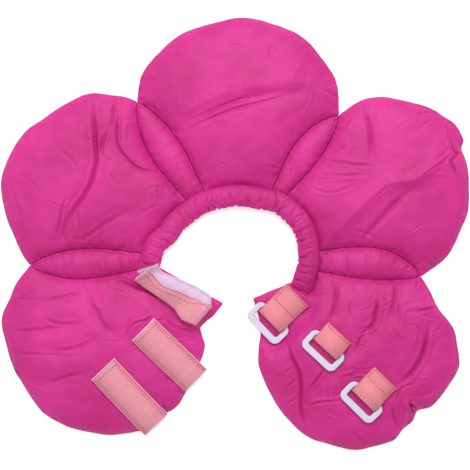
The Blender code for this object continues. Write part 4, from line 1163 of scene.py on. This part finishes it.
def doubledGrid(look, strap):
    # the same as a fine even grid with its normals, and how many of its rows are the lower layer
    rows = doubledRows(look, strap)
    fine, underRows = [], 0
    for i in range(len(rows) - 1):
        if i == look["lower"]:
            underRows = len(fine)
        p0, p3 = rows[max(i - 1, 0)], rows[min(i + 2, len(rows) - 1)]
        pieces = max(2, round(float(np.linalg.norm(rows[i + 1] - rows[i], axis=1).mean()) / look["step"]))
        fine += [bend(p0, rows[i], rows[i + 1], p3, k / pieces) for k in range(pieces)]
    grid = np.array(fine + [rows[-1]])
    for _ in range(3):
        grid[1:-1] = 0.5 * grid[1:-1] + 0.25 * (grid[:-2] + grid[2:])
    normals = np.cross(np.gradient(grid, axis=0), np.gradient(grid, axis=1))
    normals /= np.linalg.norm(normals, axis=2)[:, :, None]
    upwards = normals[-1, look["columns"] // 3, 2] >= 0
    return grid, normals if upwards else -normals, underRows


def makeDoubledStrap(look, strap):
    node, columns = "strap_1", look["columns"]
    grid, normals, underRows = doubledGrid(look, strap)
    thick = strap["webbing"] / 2 - 0.05
    data = slab(grid, normals, -thick, thick)
    # painted shade: the darker ground shows between the rib pieces
    data.materials.append(webbingGroundShade)
    data.materials.append(pile)
    for face in data.polygons:  # the pile turns over the curled rim
        row, column = (min(n) for n in zip(*(divmod(v % (len(grid) * columns), columns) for v in face.vertices)))
        face.material_index = int(row < underRows and column < look["rimColumns"])
    finishPiece("webbing_" + node, data, [node])
    data = slab(grid, normals, -thick - strap["lining"] - 0.15, -thick - 0.15)
    finishPiece("pile_" + node, data, ["strap_lining_1"], material=pile)
    # ribs in short pieces that follow the curl
    spacing = strap["width"] / (columns - 1)
    piece, seam, low = (max(1, round(size / spacing)) for size in (look["ribPiece"], look["stitchInset"], 1.0))
    steps = [float(np.linalg.norm(b - a, axis=1).mean()) for a, b in zip(grid, grid[1:])]
    ribs = []
    for a, share in paces(steps, strap["rib"], 0.5):
        section = grid[a] * (1 - share) + grid[a + 1] * share
        for b in range(low, columns - 1 - low, piece):
            c = min(b + piece, columns - 1)
            normal = normals[a, (b + c) // 2]
            centre = (section[b] + section[c]) / 2 + normal * (thick - 0.07)
            ribs.append((Vector(centre) * mm, Vector(section[c] - section[b]).normalized(), Vector(normal)))
    ribSize = (look["ribPiece"] + 0.12, strap["ribWidth"], strap["ribHeight"])
    makeRow("ribs_" + node, ribTree, ribs, ribSize, webbing, 6, 0.0)

    def stitch(row, column, ahead):
        along = Vector(grid[ahead] - grid[row, column]).normalized()
        place = Vector(grid[row, column] + normals[row, column] * (thick + 0.2)) * mm
        return place, along, Vector(normals[row, column])

    # one line of stitches by the raised edge, and one across the free end
    stitches = [stitch(a, seam, (a + 1, seam)) for a, _ in paces(steps, strap["stitchPitch"], 1.0)]
    stitches += [stitch(-4, b, (-4, b + 1)) for b in range(seam, columns // 2 + 4, 2)]
    makeRow("stitches_" + node, stitchTree, stitches, strap["stitch"], strapThread, 1)


makeDoubledStrap(doubledLook, strapLook)
print("straps made")

# Rings and the tabs that hold them, placed by each ring's hinge
ringLook = dict(length=34.6, depth=18.5, sideBar=4.5, outerBar=5.4, pin=3.2, thickness=3.0, corner=5.4, edge=0.9)
tabLook = dict(width=25.0, webbing=1.2, clearance=0.35, setback=5.8, rib=1.3, ribWidth=0.95, ribHeight=0.7,
               stitchPitch=2.2, stitchInset=2.0, stitch=(1.8, 0.5, 0.4), step=0.7)


def roundedRectangle(x0, x1, y0, y1, radius, steps):
    loop = []
    for cx, cy, start in ((x1 - radius, y0 + radius, -90), (x1 - radius, y1 - radius, 0),
                          (x0 + radius, y1 - radius, 90), (x0 + radius, y0 + radius, 180)):
        for i in range(steps + 1):
            angle = math.radians(start + 90 * i / steps)
            loop.append(np.array([cx + radius * math.cos(angle), cy + radius * math.sin(angle)]))
    return loop


def middleOf(node):
    corners = [v.co for v in frame["nodes"][node].data.vertices]
    return sum(corners, Vector()) / len(corners)


def makeRing(key, hinge, axis, look):
    node = "ring_" + key
    outward = middleOf(node) - hinge
    outward = (outward - axis * outward.dot(axis)).normalized()
    half, low, side = look["length"] / 2, -look["pin"] / 2, look["sideBar"]
    high = look["depth"] + low
    outer = roundedRectangle(-half, half, low, high, look["corner"], 9)
    inner = roundedRectangle(side - half, half - side, low + look["pin"], high - look["outerBar"],
                             0.3 * look["corner"], 9)
    deep, edge = look["thickness"] / 2, look["edge"]
    quarter = [(edge * (1 - math.sin(a)), deep - edge * (1 - math.cos(a))) for a in np.linspace(math.pi / 2, 0, 5)]
    mesh = bmesh.new()
    rings = []
    for out, into in zip(outer, inner):
        width = float(np.linalg.norm(into - out))
        section = [(t / width, z) for t, z in quarter] + [(1 - t / width, z) for t, z in quarter[::-1]]
        section += [(1 - t / width, -z) for t, z in quarter] + [(t / width, -z) for t, z in quarter[::-1]]
        rings.append([mesh.verts.new((*(out + (into - out) * t), z)) for t, z in section])
    bridge(mesh, rings + rings[:1])
    place = Matrix((axis, outward, axis.cross(outward))).transposed().to_4x4()
    place.translation = hinge / mm
    mesh.transform(Matrix.Scale(mm, 4) @ place)
    bmesh.ops.remove_doubles(mesh, verts=mesh.verts, dist=1e-7)
    bmesh.ops.recalc_face_normals(mesh, faces=mesh.faces)
    finishPiece("moulded_" + node, meshFrom(mesh, node), [node], "ring_body_" + key, acetal)


def makeTab(key, hinge, axis, look, ring):
    node = "tab_" + key
    corners = {tuple(round(c, 7) for c in v.co) for v in frame["nodes"][node].data.vertices}
    corners = [Vector(c) for c in corners]
    flat = Vector((axis.y, -axis.x, 0)).normalized()
    if (middleOf("ring_" + key) - sum(corners, Vector()) / len(corners)).dot(flat) < 0:
        flat = -flat
    # the sewn end's lower and upper edge give the tab's lean
    low = min(c.dot(flat) for c in corners)
    edge = sorted((c for c in corners if c.dot(flat) < low + 0.6 * mm), key=lambda c: c.z)
    bottom, top = (c - c.dot(axis) * axis for c in (edge[0], edge[-1]))
    up = (top - bottom).normalized()
    forward = axis.cross(up)
    if forward.dot(flat) < 0:
        forward = -forward
    origin = bottom + axis * (sum(c.dot(axis) for c in corners) / len(corners))
    pin = (hinge - origin).dot(forward) / mm
    thick = look["webbing"]
    high = ring["pin"] + 2 * look["clearance"] + 0.6 + 2 * thick
    turn = pin + look["setback"] - high / 2
    slope = pin - 1.1 * high
    arc = (high - thick) / 2
    middle = [(0.3, thick / 2), (slope, thick / 2), (turn, thick / 2)]
    middle += [(turn + arc * math.cos(a), high / 2 + arc * math.sin(a)) for a in np.radians([-60, -30, 0, 30, 60])]
    middle += [(turn, high - thick / 2), (pin - 0.28 * high, high - thick / 2), (slope, 1.5 * thick),
               (slope / 2, 1.5 * thick), (0.3, 1.5 * thick)]
    stations = []
    for i, (s, z) in enumerate(middle):
        before, after = middle[max(i - 1, 0)], middle[min(i + 1, len(middle) - 1)]
        run = Vector((after[0] - before[0], after[1] - before[1])).normalized()
        stations.append((origin + forward * s * mm + up * z * mm, axis, forward * run.y - up * run.x))
    fine = refine(stations, look["step"])
    data = sweepRibbon(fine, look["width"], thick - 0.1, 0.4)
    # painted shade: the tab's ribbon takes the darker ground, which shows between its ribs
    finishPiece("webbing_" + node, data, [node], material=tabGroundShade)
    ribs = [s for s in ribSpots(fine, look["rib"], thick / 2 - 0.12) if s[2].dot(up) > -0.3]
    ribSize = (look["width"] - 1.0, look["ribWidth"], look["ribHeight"])
    makeRow("ribs_" + node, ribTree, ribs, ribSize, tabWebbing, 20 + int(key), 0.02)
    # box stitch on the sewn part
    surface, half, pitch = thick / 2 + 0.25, look["width"] / 2 - look["stitchInset"], look["stitchPitch"]
    upper = [s for s in fine if s[2].dot(up) > 0.97 and (s[0] - origin).dot(forward) < (slope - 0.5) * mm]
    rows = stitchSpots(upper, (-half, half), pitch, surface, (0.05, 0.92))
    for share in (0.06, 0.92):
        rows += crossSpots(upper, share, half, pitch, surface)
    makeRow("stitches_" + node, stitchTree, rows, look["stitch"], strapThread, 30 + int(key))


for joint in frame["joints"]:
    ringKey = joint["child"][-1]
    hingePlace = Vector(joint["pos_m"])
    hingeAxis = Vector(joint["axis"]).normalized()
    makeRing(ringKey, hingePlace, hingeAxis, ringLook)
    makeTab(ringKey, hingePlace, hingeAxis, tabLook, ringLook)
print("rings and tabs made")

# Floor, light and camera
studioLook = dict(
    floor=4.0, floorDrop=0.0004, paper=("#FCFCFC", "#F9F9F9"), glow=0.34, world=0.54, key=13.2, keySize=0.85,
    keyPlace=(0.05, 0.72, 1.15), fill=3.4, fillSize=1.4, fillPlace=(-0.8, -0.2, 1.2), lens=120.0, sensor=36.0,
    view=0.376, lift=0.003, centre=(0.00003, -0.0009),
)


def softbox(name, place, energy, size):
    data = bpy.data.lights.new(name, "AREA")
    data.shape = "DISK"
    data.energy, data.size = energy, size
    lamp = addObject(name, data)
    lamp.location = place
    lamp.rotation_euler = (-Vector(place)).to_track_quat("-Z", "Y").to_euler()


def makeStudio(look):
    # White paper sweep: matt and evenly lit, so bright that only contact shadows show on it
    paper, tree, shader, _ = startMaterial("white paper sweep", {
        "Roughness": 0.9, "IOR": 1.45, "Emission Color": hexColour("#FFFFFF"),
        "Emission Strength": look["glow"]})
    dress(tree, shader, mixed(tree, addNode(tree, "ShaderNodeTexNoise", {"Scale": 40.0}), *look["paper"]))
    size, drop = look["floor"], -look["floorDrop"]
    corners = [(-size, -size, drop), (size, -size, drop), (size, size, drop), (-size, size, drop)]
    floor = plainObject("studio floor", corners, [(0, 1, 2, 3)])
    floor.data.materials.append(paper)
    world = bpy.data.worlds.new("studio")
    world.use_nodes = True
    background = world.node_tree.nodes["Background"]
    background.inputs["Color"].default_value = hexColour("#FFFFFF")
    background.inputs["Strength"].default_value = look["world"]
    scene.world = world
    softbox("key softbox", look["keyPlace"], look["key"], look["keySize"])
    softbox("fill softbox", look["fillPlace"], look["fill"], look["fillSize"])
    scene.view_settings.view_transform = "Standard"
    lens = bpy.data.cameras.new("camera")
    lens.lens, lens.sensor_width = look["lens"], look["sensor"]
    camera = addObject("camera", lens)
    camera.location = (*look["centre"], look["view"] * look["lens"] / look["sensor"] + look["lift"])
    bpy.context.scene.camera = camera


makeStudio(studioLook)
bpy.context.view_layer.update()
